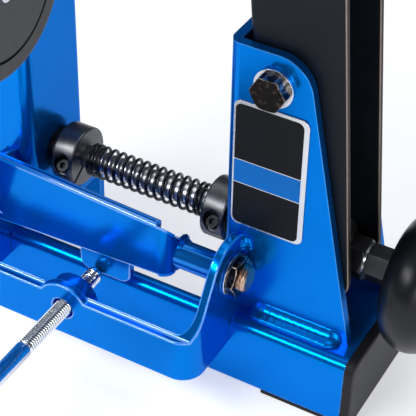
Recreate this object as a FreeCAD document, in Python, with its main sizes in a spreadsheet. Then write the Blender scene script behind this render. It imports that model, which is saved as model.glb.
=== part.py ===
"""Bench stand for truing a bicycle wheel, as a parametric assembly in millimetres.

X runs across the stand with the large spreader knob at +X, +Y points to the back
and Z is up from the bench. The origin is the middle of the four bench bolts.
"""
import FreeCAD, Part
import math
import os
from types import SimpleNamespace

import Sketcher

os.makedirs("parts", exist_ok=True)
Vector = FreeCAD.Vector
doc = FreeCAD.newDocument("TruingStand")

# Driving dimensions, in millimetres and degrees.
SIZES = {
    # Base pressing: an inverted channel with its middle cut away behind the front wall.
    "base_length": 264.6,
    "base_depth": 76.0,
    "base_height": 39.0,
    "base_wall": 4.0,
    "base_bend": 6.0,
    "cutout_width": 108.0,
    "lip_depth": 7.7,
    # Rubber boots over both ends of the base.
    "sole_thickness": 3.0,
    "sole_margin": 9.0,
    "boot_wall": 5.5,
    "boot_rim": 0.6,
    "boot_rounding": 1.6,
    "plug_length": 12.0,
    "plug_gap": 0.4,
    # Tapped bars inside the base, for the bench bolts.
    "bench_bolt_inset": 27.3,
    "bar_width": 16.0,
    "bar_height": 12.0,
    "bench_bolt_spacing": 44.0,
    "bench_hole_radius": 3.4,
    # Towers: channels with tapered flanges, open away from the middle.
    "tower_spacing": 112.8,
    "tower_depth": 50.0,
    "tower_plate": 4.8,
    "tower_height": 153.5,
    "tower_foot_reach": 71.4,
    "tower_top_reach": 40.0,
    "tower_corner": 18.0,
    "tower_bend": 6.2,
    # Weld beads at the feet of the towers.
    "weld_length": 50.0,
    "weld_leg": 6.5,
    "weld_throat": 4.4,
    "weld_inset": 17.6,
    # Pivot of each upright in its tower.
    "pivot_reach": 24.3,
    "pivot_below_top": 16.8,
    "pivot_bolt_radius": 5.0,
    "pivot_head_flats": 16.0,
    "pivot_head_height": 6.4,
    "pivot_nut_height": 9.0,
    "pivot_thread_end": 3.0,
    "washer_radius": 10.0,
    "washer_thickness": 2.0,
    "friction_washer_radius": 9.0,
    "spacer_radius": 8.0,
    "running_gap": 0.05,
    "side_gap": 0.1,
    # Spreader shaft, its collars, bushes, spring and barrel nuts.
    "shaft_height": 35.6,
    "shaft_radius": 6.0,
    "shaft_thread_radius": 4.75,
    "shaft_body_half": 66.0,
    "shaft_end_chamfer": 1.0,
    "collar_radius": 16.0,
    "collar_width": 12.9,
    "collar_inner_face": 38.3,
    "collar_edge": 0.7,
    "collar_slit": 1.3,
    "collar_slit_angle": 34.0,
    "clamp_screw_offset": 11.0,
    "clamp_head_radius": 3.4,
    "clamp_head_height": 4.0,
    "clamp_socket_flats": 3.0,
    "clamp_socket_depth": 2.2,
    "clamp_bore_radius": 4.3,
    "clamp_bore_depth": 7.0,
    "clamp_shank_radius": 2.0,
    "clamp_shank_length": 13.0,
    "bush_radius": 9.0,
    "bush_flange_radius": 12.0,
    "bush_flange_thickness": 4.6,
    "spring_outer_radius": 9.0,
    "spring_wire_radius": 0.9,
    "spring_end_pitch": 2.4,
    "spring_hook_radius": 2.0,
    "barrel_reach": 103.0,
    "barrel_radius": 8.5,
    "barrel_trunnion_radius": 4.0,
    "barrel_slot_gap": 0.25,
    "barrel_slot_travel": 3.0,
    "jam_nut_gap": 3.5,
    "jam_nut_flats": 19.0,
    "jam_nut_height": 9.0,
    "ferrule_flats": 17.0,
    "ferrule_length": 14.5,
    "lock_washer_radius": 9.4,
    "lock_washer_thickness": 1.2,
    "end_nut_height": 8.0,
    # Spreader knob: a thick soft ring with a dished outer face.
    "knob_ring_radius": 20.8,
    "knob_round": 15.0,
    "knob_dish_depth": 3.5,
    "knob_dish_slope": 2.5,
    # Uprights: channels that lean about their pivots.
    "upright_lean_angle": 5.16,
    "upright_web_back": 15.2,
    "upright_flange_front": 32.4,
    "upright_plate": 3.2,
    "upright_depth": 38.8,
    "upright_bend": 4.6,
    "upright_below_shaft": 14.9,
    "upright_rise": 241.0,
    "upright_taper_start": 60.0,
    "upright_top_reach": 8.0,
    "upright_corner": 9.0,
    "upright_shaft_hole": 9.0,
    # Hub supports on the uprights.
    "dropout_plate": 4.0,
    "dropout_width": 30.0,
    "dropout_length": 50.0,
    "dropout_overhang": 5.0,
    "notch_radius": 5.1,
    "notch_depth": 16.0,
    "notch_mouth": 9.0,
    "notch_mouth_depth": 7.0,
    "notch_clearance": 1.6,
    "dropout_corner": 4.0,
    "dropout_screw_spacing": 18.0,
    "dropout_screw_inset": 8.0,
    "dropout_screw_radius": 2.5,
    "dropout_head_radius": 4.4,
    "dropout_head_height": 2.6,
    # Front strap with the ears of the caliper arm.
    "strap_reach": 37.2,
    "strap_half": 69.0,
    "strap_plate": 4.8,
    "strap_top_drop": 25.1,
    "strap_height": 25.5,
    "strap_bend": 12.0,
    "ear_radius": 20.3,
    "ear_slant_end": 3.7,
    "arm_pivot_front": 11.5,
    "arm_pivot_above": 30.0,
    "screw_offset": 5.7,
    "screw_above": 2.5,
    "hump_radius": 15.0,
    "strap_hole_radius": 5.8,
    "boss_radius": 13.0,
    "boss_length": 13.0,
    # Pivot rod of the caliper arm: it turns in the ears, its ends threaded for nuts.
    "rod_radius": 7.25,
    "rod_thread_radius": 7.0,
    "rod_thread_end": 4.0,
    "rod_end_round": 2.4,
    "rod_nut_flats": 19.0,
    "rod_nut_height": 4.6,
    "rod_washer_radius": 11.0,
    "rod_washer_thickness": 1.0,
    # Caliper arm: front beam, tab, side plate and bridge.
    "arm_plate": 4.8,
    "beam_left": 63.6,
    "beam_right": 40.0,
    "beam_rise": 29.3,
    "beam_slope_rise": 5.8,
    "beam_drop_left": 13.3,
    "beam_drop_right": 8.6,
    "beam_flange_depth": 13.0,
    "beam_bend": 7.0,
    "beam_corner": 5.0,
    "beam_end_rise": 1.0,
    "tab_offset": 1.6,
    "tab_width": 30.0,
    "tab_drop": 29.1,
    "tab_ahead": 5.5,
    "tab_corner": 6.0,
    "arm_lean_angle": 28.1,
    "arm_length": 267.0,
    "riser_back": 20.0,
    "riser_width": 40.0,
    "riser_knee": 45.0,
    "bridge_below_shaft": 14.0,
    "bridge_half_width": 28.0,
    "bridge_right": 32.0,
    "bridge_corner": 8.0,
    "lug_thickness": 5.2,
    "lug_height": 22.0,
    "lug_half_width": 7.0,
    # Calipers and their screw.
    "caliper_pivot_half": 22.0,
    "caliper_screw_back": 20.0,
    "caliper_pivot_ahead": 10.0,
    "finger_plate": 5.0,
    "finger_lift": 0.5,
    "finger_tail": 9.0,
    "finger_eye": 9.0,
    "finger_reach": 70.0,
    "finger_shoulder": 50.0,
    "finger_tip_inner": 13.6,
    "finger_tip_width": 3.4,
    "finger_tip_bend": 6.4,
    "tip_pad": 2.4,
    "tip_pad_length": 18.0,
    "pin_radius": 4.0,
    "pin_head_radius": 7.0,
    "pin_head_height": 2.6,
    "pin_rivet_radius": 5.6,
    "pin_rivet_height": 2.4,
    "caliper_screw_radius": 3.0,
    "caliper_screw_left": 38.0,
    "caliper_shoulder_radius": 5.0,
    "caliper_shoulder_width": 2.5,
    "caliper_nut_radius": 6.0,
    "caliper_nut_top": 6.5,
    "caliper_slot_gap": 0.3,
    "caliper_slot_travel": 1.2,
    "caliper_knob_place": 38.0,
    "caliper_knob_radius": 33.0,
    "caliper_knob_width": 19.0,
    "caliper_knob_edge": 4.0,
    "caliper_knob_groove": 1.2,
    "caliper_knob_rim": 4.0,
    # Elevation screw of the arm.
    "elevation_screw_radius": 4.5,
    "elevation_screw_length": 132.0,
    "elevation_neck_radius": 2.5,
    "elevation_neck_length": 5.0,
    "tip_radius": 4.5,
    "tip_relief": 0.5,
    "tip_length": 9.0,
    "tip_gap": 0.3,
    "elevation_knob_radius": 24.0,
    "elevation_knob_width": 20.0,
    "elevation_knob_edge": 5.0,
    # Bare badge plate on the front of the right tower.
    "badge_width": 38.4,
    "badge_above_ear": 2.1,
    "badge_thickness": 0.8,
    "badge_inset": 4.6,
    "badge_below_top": 29.1,
    "badge_corner": 4.0,
    # How far every cut runs past what it cuts.
    "overrun": 5.0,
}
HEXAGON_SIDES = 6
TURN_QUARTERS = 4
SPRING_END_TURNS = 1.5
SPRING_ACTIVE_TURNS = 12
RAMP_SHARE_OF_TURN = 0.5
CLEARANCE_SAMPLES = 16


class Size:
    """A size: its value, and the expression that gives it from the sheet."""

    def __init__(self, value, text):
        self.value = value
        self.text = text

    def joined(self, value, sign, other):
        return Size(value, f"({self.text} {sign} {other.text})")

    def __add__(self, other):
        other = as_size(other)
        return self.joined(self.value + other.value, "+", other)

    def __sub__(self, other):
        other = as_size(other)
        return self.joined(self.value - other.value, "-", other)

    def __mul__(self, other):
        other = as_size(other)
        return self.joined(self.value * other.value, "*", other)

    def __truediv__(self, other):
        other = as_size(other)
        return self.joined(self.value / other.value, "/", other)

    def __rmul__(self, other):
        return as_size(other) * self

    def __neg__(self):
        return as_size(-1) * self


def as_size(value):
    """Return a number as a size whose expression is that number."""
    if isinstance(value, Size):
        return value
    return Size(float(value), f"({float(value)!r})")


def cosine(angle):
    return Size(math.cos(math.radians(angle.value)), f"cos({angle.text})")


def sine(angle):
    return Size(math.sin(math.radians(angle.value)), f"sin({angle.text})")


def root(size):
    return Size(math.sqrt(size.value), f"sqrt({size.text})")


def fill_sheet():
    """Write the driving dimensions to the sheet and return them as sizes."""
    sheet = doc.addObject("Spreadsheet::Sheet", "Sizes")
    sizes = SimpleNamespace()
    for row, (alias, value) in enumerate(SIZES.items(), start=1):
        sheet.set(f"A{row}", alias)
        sheet.set(f"B{row}", str(value))
        sheet.setAlias(f"B{row}", alias)
        setattr(sizes, alias, Size(value, f"Sizes.{alias}"))
    doc.recompute()
    return sizes


s = fill_sheet()
ZERO = as_size(0)

# Heights and places that several pieces share.
base_top = s.sole_thickness + s.base_height
base_half = s.base_length / 2
base_front = -1 * s.base_depth / 2
bench_bolt_x = base_half - s.bench_bolt_inset
tower_face = s.tower_spacing / 2
tower_front = -1 * s.tower_depth / 2
tower_inside = s.tower_depth / 2 - s.tower_plate
shaft_z = base_top + s.shaft_height
pivot_x = tower_face + s.pivot_reach
tower_top = base_top + s.tower_height
pivot_z = tower_top - s.pivot_below_top
strap_front = base_front - s.strap_reach
strap_back = strap_front + s.strap_plate
strap_top = shaft_z - s.strap_top_drop
strap_bottom = strap_top - s.strap_height
arm_pivot_y = tower_front - s.arm_pivot_front
arm_pivot_z = base_top + s.arm_pivot_above
screw_x = -1 * s.screw_offset
screw_z = base_top + s.screw_above
beam_back = arm_pivot_y - s.rod_radius
beam_front = beam_back - s.arm_plate
tab_front = arm_pivot_y - s.tab_ahead
bridge_top = s.arm_length - s.bridge_below_shaft
finger_low = bridge_top + s.finger_lift
finger_high = finger_low + s.finger_plate
caliper_axis = -1 * s.caliper_screw_back
pin_ahead = s.caliper_pivot_ahead
NODES = []


def keep(obj, label):
    """Name an object as one of the finished pieces."""
    obj.Label = label
    NODES.append(obj)
    return obj


def new_body(name):
    return doc.addObject("PartDesign::Body", name)


def bind(obj, path, size):
    obj.setExpression(path, size.text)


def sketch_on(body, role, offset):
    """Attach a sketch to an origin plane of its body, moved along the plane's normal."""
    sketch = body.newObject("Sketcher::SketchObject", body.Name + "_sketch")
    plane = [item for item in body.Origin.OriginFeatures if item.Role == role][0]
    sketch.AttachmentSupport = (plane, [""])
    sketch.MapMode = "FlatFace"
    bind(sketch, "AttachmentOffset.Base.z", offset)
    return sketch


def pin_point(sketch, geometry, position, x, y):
    """Bind one point of a sketch to its two coordinates."""
    for kind, size in (("DistanceX", x), ("DistanceY", y)):
        number = sketch.addConstraint(
            Sketcher.Constraint(kind, -1, 1, geometry, position, size.value))
        bind(sketch, f"Constraints[{number}]", size)


def arc_about(start, end, centre, turn):
    """Make the arc from start to end about a centre, turning left (1) or right (-1)."""
    if turn < 0:
        start, end = end, start
    first = math.atan2(start[1] - centre[1], start[0] - centre[0])
    last = math.atan2(end[1] - centre[1], end[0] - centre[0])
    radius = math.hypot(start[0] - centre[0], start[1] - centre[1])
    ring = Part.Circle(Vector(*centre, 0), Vector(0, 0, 1), radius)
    return Part.ArcOfCircle(ring, first, first + (last - first) % (2 * math.pi))


def outline(points):
    """Return a drawing of a closed outline.

    A point is (x, y). An arc that ends at a point is (x, y, centre x, centre y, turn).
    """
    def draw(sketch):
        count = len(points)
        first = sketch.GeometryCount
        for index in range(count):
            start = points[index]
            end = points[(index + 1) % count]
            a = (start[0].value, start[1].value)
            b = (end[0].value, end[1].value)
            if len(end) == 2:
                sketch.addGeometry(Part.LineSegment(Vector(*a, 0), Vector(*b, 0)))
            else:
                sketch.addGeometry(arc_about(a, b, (end[2].value, end[3].value), end[4]))
        ends = []
        for index in range(count):
            end = points[(index + 1) % count]
            ends.append((2, 1) if len(end) == 5 and end[4] < 0 else (1, 2))
        for index in range(count):
            following = (index + 1) % count
            sketch.addConstraint(Sketcher.Constraint(
                "Coincident", first + index, ends[index][1], first + following, ends[following][0]))
            pin_point(sketch, first + index, ends[index][0], points[index][0], points[index][1])
            end = points[following]
            if len(end) == 5:
                across = abs(end[0].value - points[index][0].value)
                upward = abs(end[1].value - points[index][1].value)
                kind, size = ("DistanceX", end[2]) if upward > across else ("DistanceY", end[3])
                number = sketch.addConstraint(
                    Sketcher.Constraint(kind, -1, 1, first + index, 3, size.value))
                bind(sketch, f"Constraints[{number}]", size)
    return draw


def circle(x, y, radius):
    """Return a drawing of one circle."""
    def draw(sketch):
        centre = Vector(x.value, y.value, 0)
        number = sketch.addGeometry(Part.Circle(centre, Vector(0, 0, 1), radius.value))
        pin_point(sketch, number, 3, x, y)
        count = sketch.addConstraint(Sketcher.Constraint("Radius", number, radius.value))
        bind(sketch, f"Constraints[{count}]", radius)
    return draw


def box(x_low, x_high, y_low, y_high):
    return outline([(x_low, y_low), (x_high, y_low), (x_high, y_high), (x_low, y_high)])


def hexagon(flats):
    """Return a drawing of a hexagon about the sketch's origin, two corners on its first axis."""
    half = flats / 2
    corner = half / math.cos(math.pi / HEXAGON_SIDES)
    return outline([(corner, ZERO), (corner / 2, half), (-1 * corner / 2, half),
                    (-1 * corner, ZERO), (-1 * corner / 2, -1 * half), (corner / 2, -1 * half)])


def upright_slot(x, y_low, y_high, radius):
    """Return a drawing of a slot along the sketch's second axis."""
    return outline([(x + radius, y_low, x, y_low, 1), (x + radius, y_high),
                    (x - radius, y_high, x, y_high, 1), (x - radius, y_low)])


def pad(body, role, low, high, *drawings):
    """Extrude drawings between two places along the plane's world axis."""
    sketch = sketch_on(body, role, -1 * high if role == "XZ_Plane" else low)
    for drawing in drawings:
        drawing(sketch)
    feature = body.newObject("PartDesign::Pad", body.Name + "_pad")
    feature.Profile = sketch
    bind(feature, "Length", high - low)
    doc.recompute()
    return feature


def pocket(body, role, low, high, *drawings):
    """Cut drawings out between two places along the plane's world axis."""
    before = body.Shape.Volume
    sketch = sketch_on(body, role, -1 * low if role == "XZ_Plane" else high)
    for drawing in drawings:
        drawing(sketch)
    feature = body.newObject("PartDesign::Pocket", body.Name + "_pocket")
    feature.Profile = sketch
    bind(feature, "Length", high - low)
    doc.recompute()
    if not body.Shape.Volume < before:
        raise RuntimeError(f"{feature.Name} cuts nothing")
    return feature


def revolve(body, points, role="XY_Plane", axis="H_Axis", kind="Revolution"):
    """Turn an outline about one of its sketch's axes, as a solid or as a groove."""
    before = body.Shape.Volume if kind == "Groove" else 0
    sketch = sketch_on(body, role, ZERO)
    outline(points)(sketch)
    feature = body.newObject("PartDesign::" + kind, body.Name + "_turned")
    feature.Profile = sketch
    feature.ReferenceAxis = (sketch, [axis])
    feature.Angle = 360
    doc.recompute()
    if kind == "Groove" and not body.Shape.Volume < before:
        raise RuntimeError(f"{feature.Name} cuts nothing")
    return feature


def edges_along(body, axis, *places):
    """Name the straight edges parallel to an axis through places given by the other two axes."""
    near = 0.02
    names = []
    for number, edge in enumerate(body.Tip.Shape.Edges, start=1):
        if edge.Curve.TypeId != "Part::GeomLine":
            continue
        ends = [vertex.Point for vertex in edge.Vertexes]
        others = [(end[(axis + 1) % 3], end[(axis + 2) % 3]) for end in ends]
        for place in places:
            target = (place[0].value, place[1].value)
            if all(math.dist(other, target) < near for other in others):
                names.append(f"Edge{number}")
                break
    return names


def fillet(body, radius, names):
    """Round the named edges of a body."""
    before = body.Tip
    feature = body.newObject("PartDesign::Fillet", body.Name + "_fillet")
    feature.Base = (before, names)
    bind(feature, "Radius", radius)
    doc.recompute()
    body.Tip = feature
    if not names or "Invalid" in feature.State:
        raise RuntimeError(f"{feature.Name} has failed on {names}")
    return feature


def place(obj, x, y, z, axis=None, angle=None):
    """Put an object at a place, turned about an axis through its own origin."""
    if axis is not None:
        obj.Placement = FreeCAD.Placement(Vector(), FreeCAD.Rotation(axis, angle.value or 1))
        bind(obj, "Placement.Rotation.Angle", angle)
    for letter, size in zip("xyz", (x, y, z)):
        bind(obj, "Placement.Base." + letter, size)
    doc.recompute()
    return obj


def mirrored(source, axis=Vector(1, 0, 0), label=None):
    """Mirror a piece across the stand's middle, or across another plane through the origin."""
    mirror = doc.addObject("Part::Mirroring", source.Name + "_mirror")
    mirror.Source = source
    mirror.Normal = axis
    mirror.Base = Vector()
    return keep(mirror, label) if label else mirror


def group(label, *members):
    """Keep several separate solids as one piece group."""
    compound = doc.addObject("Part::Compound", label + "_group")
    compound.Links = list(members)
    return keep(compound, label)


def washer(name, role, low, high, outer, bore):
    """Make a plain ring about an origin axis."""
    body = new_body(name)
    pad(body, role, low, high, circle(ZERO, ZERO, outer), circle(ZERO, ZERO, bore))
    return body


def hex_bolt(name, flats, head, radius, length, end_chamfer):
    """Make a hexagon head bolt along +X, its head's seat at the origin."""
    body = new_body(name)
    pad(body, "YZ_Plane", -1 * head, ZERO, hexagon(flats))
    trim_corners(body, flats, -1 * head, 1)
    revolve(body, [(ZERO, ZERO), (length, ZERO), (length, radius - end_chamfer),
                   (length - end_chamfer, radius), (ZERO, radius)])
    return body


def trim_corners(body, flats, outer_face, inward):
    """Turn the corners of a hexagon off on the side that faces out."""
    slant = math.pi / HEXAGON_SIDES
    corner = flats / 2 / math.cos(slant) + s.overrun
    rise = (corner - flats / 2) * math.tan(slant)
    step = inward * rise
    clear = -1 * inward * s.overrun
    revolve(body, [(outer_face, flats / 2), (outer_face + step, corner),
                   (outer_face + clear, corner), (outer_face + clear, flats / 2)], kind="Groove")


def hex_nut(name, flats, height, bore):
    """Make a hexagon nut along X from the origin, both sides turned at the corners."""
    body = new_body(name)
    pad(body, "YZ_Plane", ZERO, height, hexagon(flats), circle(ZERO, ZERO, bore))
    trim_corners(body, flats, height, -1)
    trim_corners(body, flats, ZERO, 1)
    return body


# Base, boots and bench bolt bars.
def make_base():
    half = s.base_depth / 2
    inner = half - s.base_wall
    under = base_top - s.base_wall
    body = new_body("base_channel")
    pad(body, "YZ_Plane", -1 * base_half, base_half, outline([
        (-1 * half, s.sole_thickness), (-1 * inner, s.sole_thickness), (-1 * inner, under),
        (inner, under), (inner, s.sole_thickness), (half, s.sole_thickness),
        (half, base_top), (-1 * half, base_top)]))
    fillet(body, s.base_bend, edges_along(body, 0, (half, base_top), (-1 * half, base_top)))
    fillet(body, s.base_bend - s.base_wall,
           edges_along(body, 0, (inner, under), (-1 * inner, under)))
    pocket(body, "XY_Plane", ZERO, base_top + s.overrun,
           box(-1 * s.cutout_width / 2, s.cutout_width / 2, base_front + s.lip_depth,
               half + s.overrun))
    pocket(body, "XZ_Plane", base_front - s.overrun, base_front + s.lip_depth + s.overrun,
           circle(screw_x, screw_z, s.tip_radius + s.tip_relief))
    keep(body, "base_channel")


def make_boots():
    half = s.base_depth / 2
    wide = half + s.boot_rim
    inner = half - s.base_wall - s.plug_gap
    outer_face = base_half + s.boot_wall
    body = new_body("boot")
    pad(body, "YZ_Plane", base_half, outer_face,
        box(-1 * wide, wide, ZERO, base_top + s.boot_rim))
    top = base_top + s.boot_rim
    fillet(body, s.base_bend + s.boot_rim, edges_along(body, 0, (wide, top), (-1 * wide, top)))
    fillet(body, s.boot_rounding, face_edges(body, 0, outer_face))
    sole_end = bench_bolt_x - s.bar_width / 2 - s.sole_margin
    pad(body, "XY_Plane", ZERO, s.sole_thickness, box(sole_end, base_half, -1 * half, half))
    pad(body, "YZ_Plane", base_half - s.plug_length, base_half,
        box(-1 * inner, inner, s.sole_thickness, base_top - s.base_wall - s.plug_gap))
    for side in (-1, 1):
        pocket(body, "XY_Plane", -1 * s.overrun, s.sole_thickness,
               circle(bench_bolt_x, side * s.bench_bolt_spacing / 2, s.bench_hole_radius))
    keep(body, "end_boot_right")
    mirrored(body, label="end_boot_left")


def face_edges(body, axis, value):
    """Name all edges that lie in a plane across one axis."""
    near = 0.01
    names = []
    for number, edge in enumerate(body.Tip.Shape.Edges, start=1):
        extent = edge.BoundBox
        low = (extent.XMin, extent.YMin, extent.ZMin)[axis]
        high = (extent.XMax, extent.YMax, extent.ZMax)[axis]
        if abs(low - value.value) < near and abs(high - value.value) < near:
            names.append(f"Edge{number}")
    return names


def make_bench_bars():
    inner = s.base_depth / 2 - s.base_wall
    half = s.bar_width / 2
    body = new_body("bench_bar")
    holes = [circle(bench_bolt_x, side * s.bench_bolt_spacing / 2, s.bench_hole_radius)
             for side in (-1, 1)]
    pad(body, "XY_Plane", s.sole_thickness, s.sole_thickness + s.bar_height,
        box(bench_bolt_x - half, bench_bolt_x + half, -1 * inner, inner), *holes)
    group("bench_bolt_bars", body, mirrored(body))


# Towers and their welds.
def make_towers():
    foot = tower_face + s.tower_foot_reach
    top = tower_top
    inner_face = tower_face + s.tower_plate
    back = s.tower_depth / 2
    body = new_body("tower")
    pad(body, "XY_Plane", base_top, top, outline([
        (tower_face, tower_front), (foot, tower_front), (foot, -1 * tower_inside),
        (inner_face, -1 * tower_inside), (inner_face, tower_inside), (foot, tower_inside),
        (foot, back), (tower_face, back)]))
    fillet(body, s.tower_bend, edges_along(
        body, 2, (tower_face, tower_front), (tower_face, back)))
    fillet(body, s.tower_bend - s.tower_plate, edges_along(
        body, 2, (inner_face, -1 * tower_inside), (inner_face, tower_inside)))
    top_end = tower_face + s.tower_top_reach
    pocket(body, "XZ_Plane", tower_front - s.overrun, back + s.overrun, outline([
        (foot, base_top), (foot + s.overrun, base_top), (foot + s.overrun, top),
        (top_end, top)]))
    fillet(body, s.tower_corner, edges_along(body, 1, (top, top_end)))
    pocket(body, "XZ_Plane", tower_front - s.overrun, back + s.overrun,
           circle(pivot_x, pivot_z, s.pivot_bolt_radius + s.running_gap))
    pocket(body, "YZ_Plane", tower_face - s.overrun, inner_face + s.overrun,
           circle(ZERO, shaft_z, s.bush_radius))
    keep(body, "tower_right")
    mirrored(body, label="tower_left")


def make_welds():
    start = tower_face + s.weld_inset
    body = new_body("weld_bead")
    pad(body, "YZ_Plane", start, start + s.weld_length, outline([
        (tower_front, base_top), (tower_front, base_top + s.weld_leg),
        (tower_front - s.weld_throat, base_top + s.weld_throat),
        (tower_front - s.weld_leg, base_top)]))
    across = mirrored(body)
    behind = mirrored(body, Vector(0, 1, 0))
    group("weld_beads", body, across, behind, mirrored(behind))


def make_badge():
    left = tower_face + s.badge_inset
    right = left + s.badge_width
    high = tower_top - s.badge_below_top
    low = arm_pivot_z + s.ear_radius + s.badge_above_ear
    body = new_body("badge")
    pad(body, "XZ_Plane", tower_front - s.badge_thickness, tower_front,
        box(left, right, low, high))
    fillet(body, s.badge_corner, edges_along(
        body, 1, (low, left), (low, right), (high, left), (high, right)))
    keep(body, "badge_plate")


# Pivots of the uprights in the towers.
def make_tower_pivots():
    outside = s.tower_depth / 2
    bore = s.pivot_bolt_radius + s.running_gap
    seat = outside + s.washer_thickness
    length = 2 * seat + s.pivot_nut_height + s.pivot_thread_end
    bolt = hex_bolt("pivot_bolt", s.pivot_head_flats, s.pivot_head_height,
                    s.pivot_bolt_radius, length, s.shaft_end_chamfer)
    place(bolt, pivot_x, -1 * seat, pivot_z, UP, QUARTER)
    group("tower_pivot_bolts", bolt, mirrored(bolt))
    nut = hex_nut("pivot_nut", s.pivot_head_flats, s.pivot_nut_height, bore)
    place(nut, pivot_x, seat, pivot_z, UP, QUARTER)
    group("tower_pivot_nuts", nut, mirrored(nut))
    ring = washer("pivot_washer", "XZ_Plane", outside, seat, s.washer_radius, bore)
    place(ring, pivot_x, ZERO, pivot_z)
    behind = mirrored(ring, Vector(0, 1, 0))
    group("tower_pivot_washers", ring, mirrored(ring), behind, mirrored(behind))
    slip = washer("friction_washer", "XZ_Plane", s.upright_depth / 2 + s.side_gap,
                  tower_inside - s.side_gap, s.friction_washer_radius, bore)
    place(slip, pivot_x, ZERO, pivot_z)
    behind = mirrored(slip, Vector(0, 1, 0))
    group("friction_washers", slip, mirrored(slip), behind, mirrored(behind))
    half = s.upright_depth / 2 - s.upright_plate - s.side_gap
    tube = washer("pivot_spacer", "XZ_Plane", -1 * half, half, s.spacer_radius, bore)
    place(tube, pivot_x, ZERO, pivot_z)
    group("pivot_spacers", tube, mirrored(tube))


# Uprights with their hub supports, drawn upright about the pivot and then leaned.
def stand_upright(obj):
    """Lean a piece that was drawn about the right pivot."""
    return place(obj, pivot_x, ZERO, pivot_z, Vector(0, 1, 0), -1 * s.upright_lean_angle)


def in_upright(x, z):
    """Turn a place in the stand into the right upright's own x and z."""
    away = x - pivot_x
    rise = z - pivot_z
    turn = s.upright_lean_angle
    return away * cosine(turn) + rise * sine(turn), rise * cosine(turn) - away * sine(turn)


def axle_height():
    return s.upright_rise + s.dropout_overhang - s.notch_depth


def dropout_screw_height():
    return s.upright_rise + s.dropout_overhang - s.dropout_length + s.dropout_screw_inset


def make_upright():
    half = s.upright_depth / 2
    inner = half - s.upright_plate
    back = -1 * s.upright_web_back
    web = back + s.upright_plate
    front = s.upright_flange_front
    rise = s.upright_rise
    foot = shaft_z - pivot_z - s.upright_below_shaft
    body = new_body("upright")
    pad(body, "XY_Plane", foot, rise, outline([
        (back, -1 * half), (front, -1 * half), (front, -1 * inner), (web, -1 * inner),
        (web, inner), (front, inner), (front, half), (back, half)]))
    fillet(body, s.upright_bend, edges_along(body, 2, (back, half), (back, -1 * half)))
    fillet(body, s.upright_bend - s.upright_plate,
           edges_along(body, 2, (web, inner), (web, -1 * inner)))
    pocket(body, "XZ_Plane", -1 * half - s.overrun, half + s.overrun, outline([
        (front, s.upright_taper_start), (front + s.overrun, s.upright_taper_start),
        (front + s.overrun, rise), (s.upright_top_reach, rise)]))
    fillet(body, s.upright_corner, edges_along(body, 1, (foot, front)))
    fillet(body, s.dropout_corner, edges_along(body, 1, (rise, s.upright_top_reach)))
    barrel_x, barrel_z = in_upright(s.barrel_reach, shaft_z)
    low = barrel_z - s.barrel_slot_travel / 4
    pocket(body, "XZ_Plane", -1 * half - s.overrun, half + s.overrun,
           circle(ZERO, ZERO, s.pivot_bolt_radius + s.running_gap),
           upright_slot(barrel_x, low, low + s.barrel_slot_travel,
                        s.barrel_trunnion_radius + s.barrel_slot_gap))
    web_middle = back + s.upright_plate / 2
    fall = shaft_z - pivot_z - web_middle * sine(s.upright_lean_angle)
    hub = s.notch_radius + s.notch_clearance
    axle = axle_height()
    screws = [circle(side * s.dropout_screw_spacing / 2, dropout_screw_height(),
                     s.dropout_screw_radius) for side in (-1, 1)]
    pocket(body, "YZ_Plane", back - s.overrun, web + s.overrun,
           circle(ZERO, fall / cosine(s.upright_lean_angle), s.upright_shaft_hole),
           outline([(hub, axle, ZERO, axle, 1), (hub, rise + s.overrun),
                    (-1 * hub, rise + s.overrun), (-1 * hub, axle)]), *screws)
    keep(stand_upright(body), "upright_right")
    mirrored(body, label="upright_left")


def make_dropouts():
    wide = s.dropout_width / 2
    high = s.upright_rise + s.dropout_overhang
    low = high - s.dropout_length
    outer = -1 * s.upright_web_back
    inner = outer - s.dropout_plate
    axle = axle_height()
    throat = high - s.notch_mouth_depth
    notch = s.notch_radius
    body = new_body("dropout")
    pad(body, "YZ_Plane", inner, outer, outline([
        (-1 * wide, low), (wide, low), (wide, high), (s.notch_mouth, high), (notch, throat),
        (notch, axle), (-1 * notch, axle, ZERO, axle, -1), (-1 * notch, throat),
        (-1 * s.notch_mouth, high), (-1 * wide, high)]))
    fillet(body, s.dropout_corner, edges_along(
        body, 0, (wide, low), (-1 * wide, low), (wide, high), (-1 * wide, high)))
    across = s.dropout_screw_spacing / 2
    height = dropout_screw_height()
    for side in (-1, 1):
        pocket(body, "YZ_Plane", inner - s.overrun, outer,
               circle(side * across, height, s.dropout_screw_radius))
    seat = inner + s.dropout_head_height
    pocket(body, "YZ_Plane", inner - s.overrun, seat,
           circle(across, height, s.dropout_head_radius),
           circle(-1 * across, height, s.dropout_head_radius))
    keep(stand_upright(body), "dropout_right")
    mirrored(body, label="dropout_left")
    screw = new_body("dropout_screw")
    thread = s.dropout_screw_radius - s.running_gap
    pad(screw, "YZ_Plane", inner, seat,
        circle(across, height, s.dropout_head_radius - s.running_gap))
    pad(screw, "YZ_Plane", seat, outer + s.upright_plate + s.washer_thickness,
        circle(across, height, thread))
    pair = group("dropout_screws_right", screw, mirrored(screw, Vector(0, 1, 0)))
    stand_upright(pair)
    mirrored(pair, label="dropout_screws_left")


# Spreader shaft and what turns with it.
def along_shaft(obj, x, angle=None):
    """Put a piece that was drawn about the X axis on the spreader shaft."""
    if angle is None:
        return place(obj, x, ZERO, shaft_z)
    return place(obj, x, ZERO, shaft_z, Vector(1, 0, 0), angle)


jam_nut_x = s.barrel_reach + s.barrel_radius + s.jam_nut_gap
lock_washer_x = jam_nut_x + s.jam_nut_height
ferrule_x = lock_washer_x + s.lock_washer_thickness
knob_x = ferrule_x + s.ferrule_length
knob_width = 2 * s.knob_round
shaft_right = knob_x + knob_width - s.knob_dish_depth
shaft_left = -1 * jam_nut_x - s.end_nut_height - s.jam_nut_gap


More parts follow.
